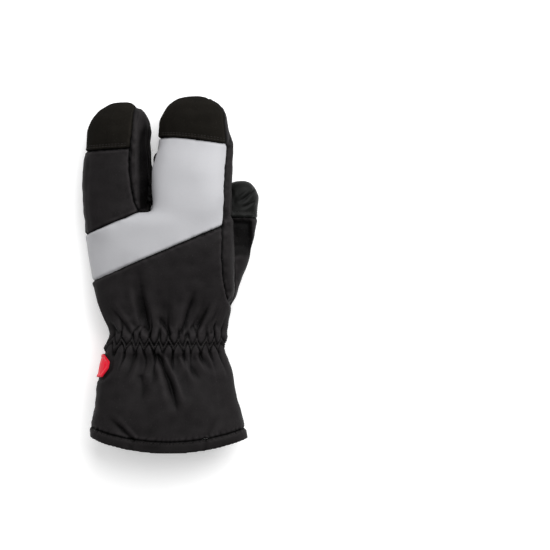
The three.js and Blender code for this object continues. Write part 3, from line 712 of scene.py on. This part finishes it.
def wristTurn(x, z):   # how far round the wrist a point lies, in turns
    angle = np.linspace(-math.pi, math.pi, 361)
    power = wristRing["square"]
    ring = np.stack([wristRing["halfWidth"] * np.sign(np.cos(angle)) * np.abs(np.cos(angle)) ** power,
                     wristRing["halfDepth"] * np.sign(np.sin(angle)) * np.abs(np.sin(angle)) ** power], 1)
    run = runOf(ring)
    place = np.arctan2(z - wristRing["z"], x - wristRing["x"])
    return np.interp(place, np.arctan2(ring[:, 1], ring[:, 0]), run / run[-1])


def gatherHeights(x, y, z):   # the gathers' height, and how far a point lies from the sewn zigzag
    turn = wristTurn(x, z)
    around = np.stack([np.cos(turn * 2 * math.pi), np.sin(turn * 2 * math.pi)], 1) * wristRing["radius"]
    top, bottom = elastic
    share = np.clip((top - y) / (top - bottom), 0, 1)
    beyond = np.maximum(np.maximum(y - top, bottom - y), 0)
    above = y > (top + bottom) / 2
    phase = 2 * math.pi * gather["count"] * turn
    for wobble in gather["wobble"]:
        phase = phase + rippled(around, *wobble)
    phase += rippled(around, *gather["lean"]) * (share - 0.5)
    size = 1 + rippled(around, *gather["uneven"])
    middle = (top + bottom) / 2
    offZigzag = y - middle - gather["swing"] * np.arcsin(np.cos(phase)) * 2 / math.pi
    ridge = bell(offZigzag * 0.5, gather["ridge"])
    side = np.where(offZigzag > 0, 1, -1)   # tucks run into the peaks from above, the troughs from below
    tuck = np.exp((side * np.cos(phase) - 1) / gather["tuck"])
    tongue = 1 - gather["tuckDepth"] * tuck
    reach = side * (y - middle) - gather["point"] * side * np.cos(phase)
    height = np.maximum(ridge, tongue * ramp(reach, *gather["foot"])) - 0.5
    height *= gather["depth"] * size * np.exp(-beyond / gather["fade"])
    for count, depth, fade in gather["runs"]:
        swing = phase * count / gather["count"] + ripple(around, 22, 20 + count) + np.where(above, 0, 2)
        turned = depth * np.cos(swing) * (0.7 + 0.5 * ripple(around, 15, 30 + count))
        height += turned * np.exp(-beyond / fade) * ramp(beyond, 0, gather["runFrom"])
    return height * np.exp(-(beyond / gather["farthest"]) ** 2), offZigzag


def smoothOut(coords, edges, weight, steps):   # weight from 0 to 1 for each point
    for step in range(steps):
        mean, count = meanOfNeighbours(coords, edges)
        coords += (mean - coords) * (weight * 0.5 * (count > 2))[:, None]


def plainSeam(pair):   # the gathered cloth runs on past the wrist band's edges, and the hem has its own fold
    names = {panels[k] for k in pair}
    band = {"wrist_band_back", "wrist_band_palm"}
    return "hem_binding" in names or bool(names & band) and "palm_panel" not in names


def within(values, ends):   # rises over the first two numbers and falls over the last two
    return ramp(values, *ends[:2]) * (1 - ramp(values, *ends[2:]))


def addRelief(coords, rows):
    band = bell(coords[:, 1] / mm - relief["wristY"], relief["wristReach"])
    smoothOut(coords, edges, np.clip(band * 1.6, 0, 1), relief["wristSteps"])
    normals = pointNormals(coords, faces)
    for step in range(4):
        normals = unit(meanOfNeighbours(normals, edges)[0] + normals)
    points = coords / mm
    x, y, z = points.T
    away = seamDistances(coords, [line for line in seamLines if not plainSeam(line[0])])[0]
    hem = panels.index("hem_binding")
    hemAway, hemRun = seamDistances(coords, [line for line in seamLines if hem in line[0]])
    height = -relief["grooveDepth"] * bell(away, relief["grooveWidth"])
    height += relief["ridgeHeight"] * bell(away - relief["ridgeAt"], relief["ridgeWidth"])
    height += relief["swell"] * (1 - bell(away, relief["swellReach"])) * ramp(y, *relief["swellY"])
    onFilm = pointsOn(["reflective_panel"])
    pucker = relief["pucker"] * np.where(onFilm, relief["filmPucker"], 1)
    height += pucker * ripple(points, relief["puckerLength"], 5) * bell(away, relief["puckerReach"])
    height -= relief["hemDepth"] * bell(hemAway, relief["hemWidth"])
    tucks = (0.5 + 0.5 * np.cos(hemRun * 2 * math.pi / relief["hemPitch"] + ripple(points, 30, 8) * 2)) ** 3
    tucks = relief["hemPucker"] * tucks * bell(hemAway - relief["tuckAt"], relief["tuckWidth"])
    height -= tucks * (0.6 + 0.4 * ripple(points, 16, 9))
    height += sum(rippled(points, *uneven) for uneven in relief["uneven"])
    height += puffed
    for row in rows.values():
        for offset in row["offsets"]:
            height -= relief["rowDepth"] * bell(row["away"] - offset, relief["rowWidth"])
    up = ramp(normals[:, 2], -0.1, 0.5)
    down = ramp(-normals[:, 2], -0.1, 0.5)
    height += foldDepths(x, y, folds["back"]) * up + foldDepths(x, y, folds["palm"]) * down
    gathered, offZigzag = gatherHeights(x, y, z)
    height += gathered * (1 - onThumb * ramp(y, *relief["gathersEnd"]))
    sewnAway = np.array([trimTree.find_nearest(Vector(p))[3] for p in coords]) / mm
    covered = 1 - ramp(sewnAway, relief["trimFrom"], relief["trimReach"])
    height += (relief["trimSink"] - height) * covered
    resting = ramp(-normals[:, 2], 0.3, 0.8) * (1 - ramp(z, 3, 9))   # nothing sinks into the table
    highest = relief["restHeight"] + (1 - resting) * 3
    height = np.where(resting > 0, np.minimum(height, highest), height)
    slit = ramp(x, *relief["slitX"]) * pointsOn(["slit_wall_outer"])
    behind = pointsOn(["thumb_outer_panel"]) * within(x, relief["thumbX"]) * within(y, relief["thumbY"])
    sink = relief["slitSink"] * slit * ramp(normals[:, 2], 0.15, 0.7) + relief["thumbSink"] * behind * up
    coords += normals * (height * mm)[:, None]
    coords[:, 2] -= sink * mm
    flat = onFilm * ramp(away, relief["filmFrom"], relief["filmReach"])
    smoothOut(coords, edges, flat, relief["filmSteps"])
    shoulder = sum(bell(np.hypot(x - across, y - along), relief["shoulderReach"])
                   for across, along in relief["shoulders"])
    smoothOut(coords, edges, np.clip(shoulder * 1.5, 0, 1), relief["shoulderSteps"])
    # painted shade and painted highlight: how far each point lies below its smoothed surface, read by the
    # materials as darker hollows and paler fold tops
    even = coords.copy()
    smoothOut(even, edges, np.ones(len(coords)), relief["evenSteps"])
    paintedShade = ((even - coords) * pointNormals(coords, faces)).sum(axis=1) / mm
    # painted shade: the slit's wall and the cloth behind the hand's edge count as deeper still
    paintedShade += relief["deepShade"] * (slit * (1 - ramp(y, *relief["deepShadeUpTo"])) + behind)
    return np.minimum(away, hemAway), paintedShade, offZigzag


for row in stitchRows.values():
    row["away"] = measureRow(row)
onThumb = pointsOn([name for name in panels if "thumb" in name])
trimTree = treeOf(sewnOn)[0]
puffed = puffedSkin(coords, coords[np.unique(seamEdges)])
seamAway, paintedShade, offZigzag = addRelief(coords, stitchRows)
print("relief: done")


# Each panel is cut out of the skin and given its padded wall

wall = {"hand": 2.6, "cuff": 2.4, "seamShare": 0.03, "roundRim": 1.5, "rimSteps": 6}
slots = {
    "palm_panel": "palm_twill", "thumb_inner_panel": "palm_twill", "reflective_panel": "grey_film",
    "fingertip_cap_outer": "cap_cloth", "fingertip_cap_inner": "cap_cloth", "thumb_cap": "cap_cloth",
    "hem_binding": "hem_tape", "closure_strap": "strap_cloth", "side_label": "label_rubber",
    "palm_patch_upper": "suede", "palm_patch_lower": "suede",
}


def meshFrom(name, coords, faces):
    mesh = bpy.data.meshes.new(name)
    mesh.vertices.add(len(coords))
    mesh.vertices.foreach_set("co", np.ascontiguousarray(coords, dtype=np.float32).ravel())
    size = faces.shape[1]
    mesh.loops.add(faces.size)
    mesh.loops.foreach_set("vertex_index", faces.ravel().astype(np.int32))
    mesh.polygons.add(len(faces))
    mesh.polygons.foreach_set("loop_start", np.arange(0, faces.size, size, dtype=np.int32))
    mesh.update(calc_edges=True)
    mesh.shade_smooth()
    return placed(name, mesh)


joined = {   # cloth that runs on through the gathers is one piece
    "cuff_back": ["cuff_back", "wrist_band_back", "back_panel_lower"],
    "cuff_palm": ["cuff_palm", "wrist_band_palm"],
}
separate = [name for name in panels if name in joined or not any(name in group for group in joined.values())]


def giveAttribute(piece, name, values):
    attribute = piece.data.attributes.new(name, "FLOAT", "POINT")
    attribute.data.foreach_set("value", np.ascontiguousarray(values, dtype=np.float32))


def cutPanel(name):
    group = joined.get(name, [name])
    chosen = faces[np.isin(labels, [panels.index(member) for member in group])]
    used, local = np.unique(chosen, return_inverse=True)
    local = local.reshape(-1, 4)
    points = coords[used].copy()
    panelEdges, panelBeside, _ = edgesOf(local)
    rim = np.unique(panelEdges[panelBeside[:, 1] < 0])
    corners = np.repeat(points[local].mean(axis=1), 4, axis=0)
    count = np.bincount(local.ravel(), minlength=len(points))[:, None]
    inward = unit(summed(local.ravel(), corners, len(points)) / count - points)
    points[rim] += inward[rim] * wall["seamShare"] * mm
    rimAway = seamDistances(points, [(None, np.flatnonzero(onRim))])[0] if onRim[used].any() else None
    piece = meshFrom("cloth_" + name, points, local)
    giveAttribute(piece, "seam", seamAway[used])
    # painted shade: each point's depth below the smoothed skin, kept for the materials
    giveAttribute(piece, "painted_shade", paintedShade[used])
    thick = piece.modifiers.new("wall", "SOLIDIFY")
    thick.thickness = wall["cuff" if "cuff" in name or "hem" in name or "band" in name else "hand"] * mm
    thick.offset = -1
    applyModifiers(piece)
    if rimAway is not None:   # the folded edge of the hem and the vent is round
        walls, rounded = coordsOf(piece.data), np.tile(bell(rimAway, wall["roundRim"]), 2)
        smoothOut(walls, edgesOf(facesOf(piece.data))[0], rounded, wall["rimSteps"])
        setCoords(piece.data, walls)
    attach(piece, "root")
    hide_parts(*group)
    return piece


cloth = {name: cutPanel(name) for name in separate}
bpy.data.objects.remove(whole)
print("panels:", len(cloth), "pieces,", sum(len(p.data.polygons) * 2 for p in cloth.values()), "triangles")

# What is sewn on: patches, strap and label keep the frame's outlines, with round edges, borders and padding

trimEdge = {"outside": 0.3, "grooveWidth": 0.45, "soft": 0.7}
trims = {   # border: how wide the edge is, step: how far it lies below the middle, or above it where negative
    "palm_patch_upper": {"voxel": 0.55, "round": 4, "stitch": 1.9, "groove": 0.3, "border": 2.6, "step": 0.15,
                         "sink": 0.6, "grain": 0.10, "fill": 0.3},
    "palm_patch_lower": {"voxel": 0.5, "round": 4, "stitch": 1.9, "groove": 0.3, "border": 4.4, "step": 0.6,
                         "sink": 0.6, "grain": 0.10, "fill": 0.6},
    "closure_strap": {"voxel": 0.5, "round": 3, "stitch": 2.7, "groove": 0.3, "border": 3.6, "step": 0.1,
                      "sink": 0.4, "grain": 0.06, "fill": 0.1},
    "side_label": {"voxel": 0.24, "round": 16, "stitch": None, "groove": 0, "border": 2.0, "step": -0.6,
                   "sink": 0.3, "grain": 0.0, "fill": 0},
}


def outlineOf(mesh, sharpest=0.95, spacing=0.0004):   # points along the sharp edges of a frame node
    bm = bmesh.new()
    bm.from_mesh(mesh)
    bmesh.ops.remove_doubles(bm, verts=bm.verts, dist=0.000002)
    points = []
    for edge in bm.edges:
        if len(edge.link_faces) == 2 and edge.calc_face_angle() > sharpest:
            a, b = (v.co for v in edge.verts)
            count = int((b - a).length / spacing) + 1
            points += [a.lerp(b, k / count) for k in range(count + 1)]
    bm.free()
    return points


def makeTrim(name):
    trim = trims[name]
    piece = placed("trim_" + name, nodes[name].data.copy())
    remeshed(piece, trim["voxel"], trim["round"])
    points, quads = coordsOf(piece.data), facesOf(piece.data)
    normals = pointNormals(points, quads)
    tree = pointTree(outlineOf(nodes[name].data))
    away = np.array([tree.find(Vector(p))[2] for p in points]) / mm
    below = np.array([bare.find_nearest(Vector(p))[0] for p in points])
    outside = (normals * (points - below)).sum(axis=1) / mm > trimEdge["outside"]
    height = -trim["groove"] * bell(away - (trim["stitch"] or 0), trimEdge["grooveWidth"])
    inner = ramp(away, trim["border"] - trimEdge["soft"], trim["border"] + trimEdge["soft"])
    height += (inner - (trim["step"] > 0)) * trim["step"]
    height += trim["grain"] * (ripple(points / mm, 9, 41) * 0.7 - 1)
    height = np.where(outside, height, trim["sink"])
    points += normals * (height * mm)[:, None]
    setCoords(piece.data, points)
    giveAttribute(piece, "seam", np.where(outside, away, 0))
    # no painted shade on what is sewn on
    giveAttribute(piece, "painted_shade", np.zeros(len(points)))
    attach(piece, "root")
    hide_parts(name)
    trim["surface"] = (points, quads, away, outside)
    return piece


trimPieces = {name: makeTrim(name) for name in trims}
print("sewn on:", ", ".join(trims))


# Stitches are small capsules of thread, laid along lines at a set distance from a seam or an edge

thread = {"length": 1.75, "gap": 0.85, "radius": 0.26, "sides": 6, "proud": 0.1, "bow": 0.25, "shortest": 6}
stations = [(0, 0.45), (0.16, 0.9), (0.5, 1.0), (0.84, 0.9), (1, 0.45)]   # along a stitch, and its girth


def linesAt(points, quads, field, level, allowed=None):   # where a field over the mesh has one value
    ends, beside, quadEdges = edgesOf(quads)
    a, b = field[ends[:, 0]] - level, field[ends[:, 1]] - level
    cut = a * b < 0
    share = np.where(cut, a / np.where(cut, a - b, 1), 0)[:, None]
    places = points[ends[:, 0]] * (1 - share) + points[ends[:, 1]] * share
    chosen = cut[quadEdges].sum(axis=1) == 2
    if allowed is not None:
        chosen &= allowed[quads].all(axis=1)
    pairs = quadEdges[chosen][cut[quadEdges[chosen]]].reshape(-1, 2)
    return [places[line] for line in chainsOf(pairs)]


def sewLine(line, tree, verts, polys, spacing):
    for step in range(6):
        line[1:-1] = (line[:-2] + line[2:] + 2 * line[1:-1]) / 4
    run = runOf(line) / mm
    pitch = (thread["length"] + thread["gap"]) * spacing
    count = int(run[-1] / pitch)
    sides = thread["sides"]
    for k in range(count):
        begin = k * pitch + (run[-1] - count * pitch) / 2
        a, b = (Vector([np.interp(at, run, line[:, j]) for j in range(3)])
                for at in (begin, begin + thread["length"] * spacing))
        normal = tree.find_nearest((a + b) / 2)[1]
        along = b - a
        across = along.cross(normal).normalized()
        up = across.cross(along).normalized()
        up = up if up.dot(normal) > 0 else -up
        first = len(verts)
        for share, girth in stations:
            radius = thread["radius"] * girth
            middle = a + along * share + up * ((thread["proud"] - thread["bow"] * (2 * share - 1) ** 2) * mm)
            for j in range(sides):
                angle = 2 * math.pi * j / sides
                verts.append(middle + (across * math.cos(angle) + up * math.sin(angle)) * radius * mm)
        for r in range(len(stations) - 1):
            low, high = first + r * sides, first + (r + 1) * sides
            around = [(j, (j + 1) % sides) for j in range(sides)]
            polys += [(low + j, low + k, high + k, high + j) for j, k in around]
        polys.append(tuple(first + j for j in reversed(range(sides))))
        polys.append(tuple(first + (len(stations) - 1) * sides + j for j in range(sides)))


def makeStitches(name, lines, tree, spacing=1.0):
    verts, polys = [], []
    for line in lines:
        if runOf(line)[-1] > thread["shortest"] * mm:
            sewLine(line, tree, verts, polys, spacing)
    piece = addObject("stitches_" + name, verts, polys)
    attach(piece, "root")
    return piece


sewn = BVHTree.FromPolygons(coords.tolist(), faces.tolist())
stitches = []
for name, row in stitchRows.items():
    own = row["away"] < 90
    lines = [line for offset in row["offsets"] for line in linesAt(coords, faces, row["away"], offset, own)]
    stitches.append(makeStitches(name, lines, sewn))
lines = linesAt(coords, faces, offZigzag, 0, ~onThumb)
stitches.append(makeStitches("elastic", lines, sewn, 0.8))
for name, trim in trims.items():
    if trim["stitch"]:
        points, quads, away, outside = trim["surface"]
        tree = BVHTree.FromPolygons(points.tolist(), quads.tolist())
        lines = linesAt(points, quads, away, trim["stitch"], outside)
        stitches.append(makeStitches(name, lines, tree))
print("stitches:", sum(len(p.data.polygons) for p in stitches) * 2, "triangles")


# Materials: effects are node groups, and each cloth sets its own values

def put(tree, kind, inputs=None, **settings):
    made = tree.nodes.new(kind)
    for key, value in settings.items():
        setattr(made, key, value)
    for key, value in (inputs or {}).items():
        if isinstance(value, bpy.types.NodeSocket):
            tree.links.new(value, made.inputs[key])
        else:
            made.inputs[key].default_value = value
    return made


def calc(tree, operation, *values):
    return put(tree, "ShaderNodeMath", dict(enumerate(values)), operation=operation).outputs[0]


def newGroup(name, inputs, outputs):
    group = bpy.data.node_groups.new(name, "ShaderNodeTree")
    for label, kind, value in inputs:
        socket = group.interface.new_socket(name=label, in_out="INPUT", socket_type=kind)
        if value is not None:
            socket.default_value = value
    for label, kind in outputs:
        group.interface.new_socket(name=label, in_out="OUTPUT", socket_type=kind)
    return group, group.nodes.new("NodeGroupInput").outputs, group.nodes.new("NodeGroupOutput").inputs


number, vector = "NodeSocketFloat", "NodeSocketVector"


def clothSpace():   # flat coordinates in mm, seen along whichever axis the cloth faces most
    group, given, made = newGroup("cloth space", [], [("Flat", vector), ("Solid", vector)])
    source = put(group, "ShaderNodeTexCoord").outputs
    solid = put(group, "ShaderNodeVectorMath", {0: source["Object"], 3: 1000.0}, operation="SCALE").outputs[0]
    place = put(group, "ShaderNodeSeparateXYZ", {0: solid}).outputs
    facing = put(group, "ShaderNodeSeparateXYZ", {0: source["Normal"]}).outputs
    ax, ay, az = (calc(group, "ABSOLUTE", facing[k]) for k in range(3))
    sideways = calc(group, "GREATER_THAN", ax, az)
    endways = calc(group, "GREATER_THAN", ay, calc(group, "MAXIMUM", ax, az))
    across = put(group, "ShaderNodeMix", {0: sideways, 2: place[0], 3: place[2]}).outputs[0]
    across = put(group, "ShaderNodeMix", {0: endways, 2: across, 3: place[0]}).outputs[0]
    along = put(group, "ShaderNodeMix", {0: endways, 2: place[1], 3: place[2]}).outputs[0]
    flat = put(group, "ShaderNodeCombineXYZ", {0: across, 1: along}).outputs[0]
    group.links.new(flat, made["Flat"])
    group.links.new(solid, made["Solid"])
    return group


def wave(group, source, pitch):
    return calc(group, "SINE", calc(group, "DIVIDE", calc(group, "MULTIPLY", source, 2 * math.pi), pitch))


def plainWeave():
    group, given, made = newGroup("plain weave", [("Flat", vector, None), ("Thread", number, 0.4)],
                                  [("Height", number)])
    flat = put(group, "ShaderNodeSeparateXYZ", {0: given["Flat"]}).outputs
    warp, weft = (wave(group, flat[k], given["Thread"]) for k in range(2))
    both = calc(group, "MULTIPLY", warp, weft)
    group.links.new(calc(group, "MULTIPLY_ADD", both, 0.5, 0.5), made["Height"])
    return group


def twillWeave():
    group, given, made = newGroup(
        "twill weave", [("Flat", vector, None), ("Rib", number, 0.8), ("Slant", number, 0.6)],
        [("Height", number), ("Tone", number)])
    flat = put(group, "ShaderNodeSeparateXYZ", {0: given["Flat"]}).outputs
    slanted = calc(group, "MULTIPLY_ADD", flat[1], given["Slant"], flat[0])
    ribs = wave(group, slanted, given["Rib"])
    yarns = wave(group, flat[1], calc(group, "MULTIPLY", given["Rib"], 0.6))
    height = calc(group, "MULTIPLY_ADD", yarns, 0.25, ribs)
    group.links.new(calc(group, "MULTIPLY_ADD", height, 0.4, 0.5), made["Height"])
    group.links.new(calc(group, "MULTIPLY_ADD", ribs, 0.5, 0.5), made["Tone"])
    return group


def softNoise():   # uneven colour, and soft creases too small for the mesh
    group, given, made = newGroup(
        "soft noise", [("Solid", vector, None), ("Size", number, 6.0), ("Detail", number, 4.0)],
        [("Value", number)])
    scale = calc(group, "DIVIDE", 1.0, given["Size"])
    noise = put(group, "ShaderNodeTexNoise", {
        "Vector": given["Solid"], "Scale": scale, "Detail": given["Detail"], "Roughness": 0.6})
    group.links.new(noise.outputs[0], made["Value"])
    return group


def seamShade():   # darker in the seam, and paler where the edge beside it is rubbed
    group, given, made = newGroup("seam shade", [("Width", number, 1.2), ("Rub", number, 2.2)],
                                  [("Dark", number), ("Rubbed", number)])
    away = put(group, "ShaderNodeAttribute", attribute_name="seam").outputs["Fac"]

    def hump(middle, width):
        share = calc(group, "DIVIDE", calc(group, "SUBTRACT", away, middle), width)
        return calc(group, "EXPONENT", calc(group, "MULTIPLY", calc(group, "MULTIPLY", share, share), -1.0))

    group.links.new(hump(0.0, given["Width"]), made["Dark"])
    group.links.new(hump(given["Rub"], 1.0), made["Rubbed"])
    return group


def paintedFoldLight():   # painted shade and painted highlight: hollows are darker, and the tops of folds paler
    group, given, made = newGroup(
        "fold shade", [("Depth", number, 0.5)], [("PaintedShade", number), ("Top", number)])
    painted_shade = put(group, "ShaderNodeAttribute", attribute_name="painted_shade").outputs["Fac"]
    share = calc(group, "DIVIDE", painted_shade, given["Depth"])
    for name, sign in (("PaintedShade", 1.0), ("Top", -1.0)):
        signed = put(group, "ShaderNodeMath", {0: share, 1: sign}, operation="MULTIPLY", use_clamp=True)
        group.links.new(signed.outputs[0], made[name])
    return group


def lint():   # sparse specks of dust and fibre ends
    group, given, made = newGroup(
        "lint", [("Solid", vector, None), ("Size", number, 0.5), ("Share", number, 0.06)], [("Mask", number)])
    cells = put(group, "ShaderNodeTexVoronoi", {
        "Vector": given["Solid"], "Scale": calc(group, "DIVIDE", 1.0, given["Size"])})
    chance = put(group, "ShaderNodeSeparateXYZ", {0: cells.outputs["Color"]}).outputs[0]
    chosen = calc(group, "LESS_THAN", chance, given["Share"])
    near = calc(group, "LESS_THAN", cells.outputs["Distance"], 0.25)
    group.links.new(calc(group, "MULTIPLY", chosen, near), made["Mask"])
    return group


effects = {"space": clothSpace(), "plain": plainWeave(), "twill": twillWeave(), "noise": softNoise(),
           "seam": seamShade(), "fold": paintedFoldLight(), "lint": lint()}

# the last two values set how much painted highlight goes on fold tops and how much painted shade into hollows
clothFinish = {   # what most of the cloths share
    "weave": "plain", "pitch": 0.5, "weaveDepth": 0.01, "creases": 0.05, "creaseSize": 3.0,
    "patchy": 0.3, "roughness": 0.55, "specular": 0.05, "sheen": 0.0, "lint": 0.0, "dark": 0.75,
    "rubbed": 0.3, "paintedFoldHighlight": 0.3, "paintedFoldShade": 0.5,
}
finishes = {
    "softshell": {
        "colour": (0.0104, 0.0093, 0.0097), "pitch": 0.45, "weaveDepth": 0.014, "creases": 0.07,
        "creaseSize": 2.6, "lint": 0.01, "rubbed": 0.25, "paintedFoldHighlight": 0.45, "paintedFoldShade": 0.75,
    },
    "palm_twill": {
        "colour": (0.026, 0.0228, 0.0203), "weave": "twill", "pitch": 0.8, "weaveDepth": 0.045,
        "creases": 0.1, "creaseSize": 4.0, "patchy": 0.28, "roughness": 0.75, "specular": 0.06,
        "sheen": 0.02, "lint": 0.008, "rubbed": 0.15, "paintedFoldShade": 0.6,
    },
    "grey_film": {
        "colour": (0.355, 0.355, 0.37), "pitch": 0.4, "weaveDepth": 0.006, "creases": 0.08,
        "creaseSize": 8.0, "patchy": 0.03, "roughness": 0.46, "specular": 0.3, "dark": 0.35,
        "rubbed": 0.0, "paintedFoldHighlight": 0.02, "paintedFoldShade": 0.12,
    },
    "cap_cloth": {
        "colour": (0.0063, 0.0056, 0.0046), "pitch": 0.6, "weaveDepth": 0.02, "creaseSize": 2.0,
        "patchy": 0.35, "roughness": 0.9, "specular": 0.03, "lint": 0.012, "dark": 0.6, "rubbed": 0.4,
    },
    "thumb_cloth": {
        "colour": (0.0042, 0.0045, 0.0042), "weaveDepth": 0.008, "creases": 0.16,
        "creaseSize": 5.5, "patchy": 0.2, "roughness": 0.42, "specular": 0.07, "lint": 0.006,
        "dark": 0.6, "paintedFoldHighlight": 0.4, "paintedFoldShade": 0.6,
    },
    "hem_tape": {
        # close to the softshell but darker: painted shade at the cuff's end
        "colour": (0.0085, 0.0076, 0.0078), "weaveDepth": 0.015, "creases": 0.08, "creaseSize": 2.4,
        "patchy": 0.28, "lint": 0.01, "rubbed": 0.2, "paintedFoldHighlight": 0.45, "paintedFoldShade": 0.75,
    },
    "suede": {
        "colour": (0.0066, 0.0058, 0.0056), "pitch": 0.8, "weaveDepth": 0.0, "creases": 0.07,
        "creaseSize": 0.6, "patchy": 0.5, "roughness": 1.0, "specular": 0.03, "sheen": 0.05,
        "lint": 0.02, "dark": 0.4, "rubbed": 0.5, "paintedFoldHighlight": 0.2, "paintedFoldShade": 0.3,
    },
    "strap_cloth": {
        "colour": (0.029, 0.0262, 0.0246), "patchy": 0.15, "roughness": 0.6, "specular": 0.18,
        "sheen": 0.02, "lint": 0.008, "dark": 0.4, "paintedFoldHighlight": 0.2, "paintedFoldShade": 0.3,
    },
    "label_rubber": {
        "colour": (0.66, 0.003, 0.022), "weaveDepth": 0.0, "creases": 0.012, "creaseSize": 1.6,
        "patchy": 0.06, "roughness": 0.4, "specular": 0.2, "dark": 0.25, "rubbed": 0.05,
        "paintedFoldHighlight": 0.0, "paintedFoldShade": 0.0,
    },
    "thread": {
        "colour": (0.015, 0.0135, 0.013), "pitch": 0.2, "weaveDepth": 0.02, "creases": 0.0,
        "creaseSize": 1.0, "roughness": 0.5, "specular": 0.12, "dark": 0.0, "rubbed": 0.0,
        "paintedFoldHighlight": 0.0, "paintedFoldShade": 0.0,
    },
}


def makeMaterial(name):
    finish = {**clothFinish, **finishes[name]}
    material = bpy.data.materials.new(name)
    material.use_nodes = True
    tree = material.node_tree
    shader = tree.nodes["Principled BSDF"]

    def effect(kind, inputs=None):
        return put(tree, "ShaderNodeGroup", inputs, node_tree=effects[kind]).outputs

    def noise(size, detail):
        return effect("noise", {"Solid": space["Solid"], "Size": size, "Detail": detail})["Value"]

    def add(source, share, tone):
        return calc(tree, "MULTIPLY_ADD", source, share, tone)

    space = effect("space")
    pitch = "Rib" if finish["weave"] == "twill" else "Thread"
    weave = effect(finish["weave"], {"Flat": space["Flat"], pitch: finish["pitch"]})
    broad, fine, creases = noise(22.0, 3.0), noise(0.9, 2.0), noise(finish["creaseSize"], 4.0)
    seam, fold = effect("seam"), effect("fold")
    specks = effect("lint", {"Solid": space["Solid"], "Share": finish["lint"]})["Mask"]

    tone = 1.0
    for source, share in ((broad, 2), (fine, 3), (weave["Height"], 1)):
        tone = add(calc(tree, "SUBTRACT", source, 0.5), finish["patchy"] * share, tone)
    tone = add(seam["Rubbed"], finish["rubbed"], tone)
    # painted highlight on the tops of folds, and painted shade in the hollows
    tone = add(fold["Top"], finish["paintedFoldHighlight"], tone)
    tone = add(fold["PaintedShade"], -finish["paintedFoldShade"], tone)
    tone = calc(tree, "MULTIPLY", tone, add(seam["Dark"], -finish["dark"], 1.0))
    base = put(tree, "ShaderNodeVectorMath", {0: finish["colour"], 3: tone}, operation="SCALE").outputs[0]
    pale = (*(min(c * 4 + 0.02, 1) for c in finish["colour"]), 1)
    mixed = put(tree, "ShaderNodeMix", {0: specks, 6: base, 7: pale}, data_type="RGBA").outputs[2]
    rough = add(calc(tree, "SUBTRACT", fine, 0.5), 0.2, finish["roughness"])
    relief = put(tree, "ShaderNodeBump", {"Height": creases, "Distance": finish["creases"] * mm})
    threads = put(tree, "ShaderNodeBump", {
        "Height": weave["Height"], "Distance": finish["weaveDepth"] * mm, "Normal": relief.outputs[0]})
    for label, socket in (("Base Color", mixed), ("Roughness", rough), ("Normal", threads.outputs[0])):
        tree.links.new(socket, shader.inputs[label])
    for label, value in (("Specular IOR Level", finish["specular"]), ("Sheen Weight", finish["sheen"]),
                         ("Sheen Roughness", 0.4)):
        shader.inputs[label].default_value = value
    return material


materials = {name: makeMaterial(name) for name in finishes}
dressed = {piece: slots.get(name, "softshell") for name, piece in {**cloth, **trimPieces}.items()}
dressed[cloth["thumb_cap"]] = "thumb_cloth"
dressed.update({piece: "thread" for piece in stitches})
for piece, finish in dressed.items():
    piece.data.materials.clear()
    piece.data.materials.append(materials[finish])
print("materials:", len(materials))


# Floor, light and camera

def addFloor():
    floor = addObject("floor", [(-3, -3, 0), (3, -3, 0), (3, 3, 0), (-3, 3, 0)], [(0, 1, 2, 3)], False)
    floor.location.z = -0.0005
    material = bpy.data.materials.new("floor")
    material.use_nodes = True
    shader = material.node_tree.nodes["Principled BSDF"].inputs
    shader["Base Color"].default_value = (0.9, 0.9, 0.9, 1)
    shader["Roughness"].default_value = 0.9
    shader["Emission Color"].default_value = (1, 1, 1, 1)
    shader["Emission Strength"].default_value = 0.28   # a light table, which keeps the shadow pale
    floor.data.materials.append(material)
    return floor


def addLight(name, place, size, watts):
    data = bpy.data.lights.new(name, "AREA")
    data.shape = "RECTANGLE"
    data.size, data.size_y = size
    data.energy = watts
    light = placed(name, data)
    light.location = place
    light.rotation_euler = (Vector(studio["target"]) - Vector(place)).to_track_quat("-Z", "Y").to_euler()
    return light


studio = {
    "world": 0.38,
    "target": (0, 0, 0.02),
    "lights": [
        ("key", (0.5, 0.75, 0.95), (1.5, 1.5), 29),
        ("fill", (-0.8, 0.2, 1.2), (0.9, 1.2), 4),
    ],
    "camera": (0.0837, 0, 1.62),
    "lens": 131,
}


def addStudio():
    world = bpy.data.worlds.new("studio")
    world.use_nodes = True
    sky = world.node_tree.nodes["Background"].inputs
    sky["Color"].default_value = (1, 1, 1, 1)
    sky["Strength"].default_value = studio["world"]
    bpy.context.scene.world = world
    lights = [addLight(*light) for light in studio["lights"]]
    data = bpy.data.cameras.new("camera")
    data.sensor_width = 36
    data.lens = studio["lens"]
    camera = placed("camera", data)
    camera.location = studio["camera"]
    bpy.context.scene.camera = camera
    bpy.context.scene.view_settings.view_transform = "Standard"
    return lights


floor = addFloor()
lights = addStudio()
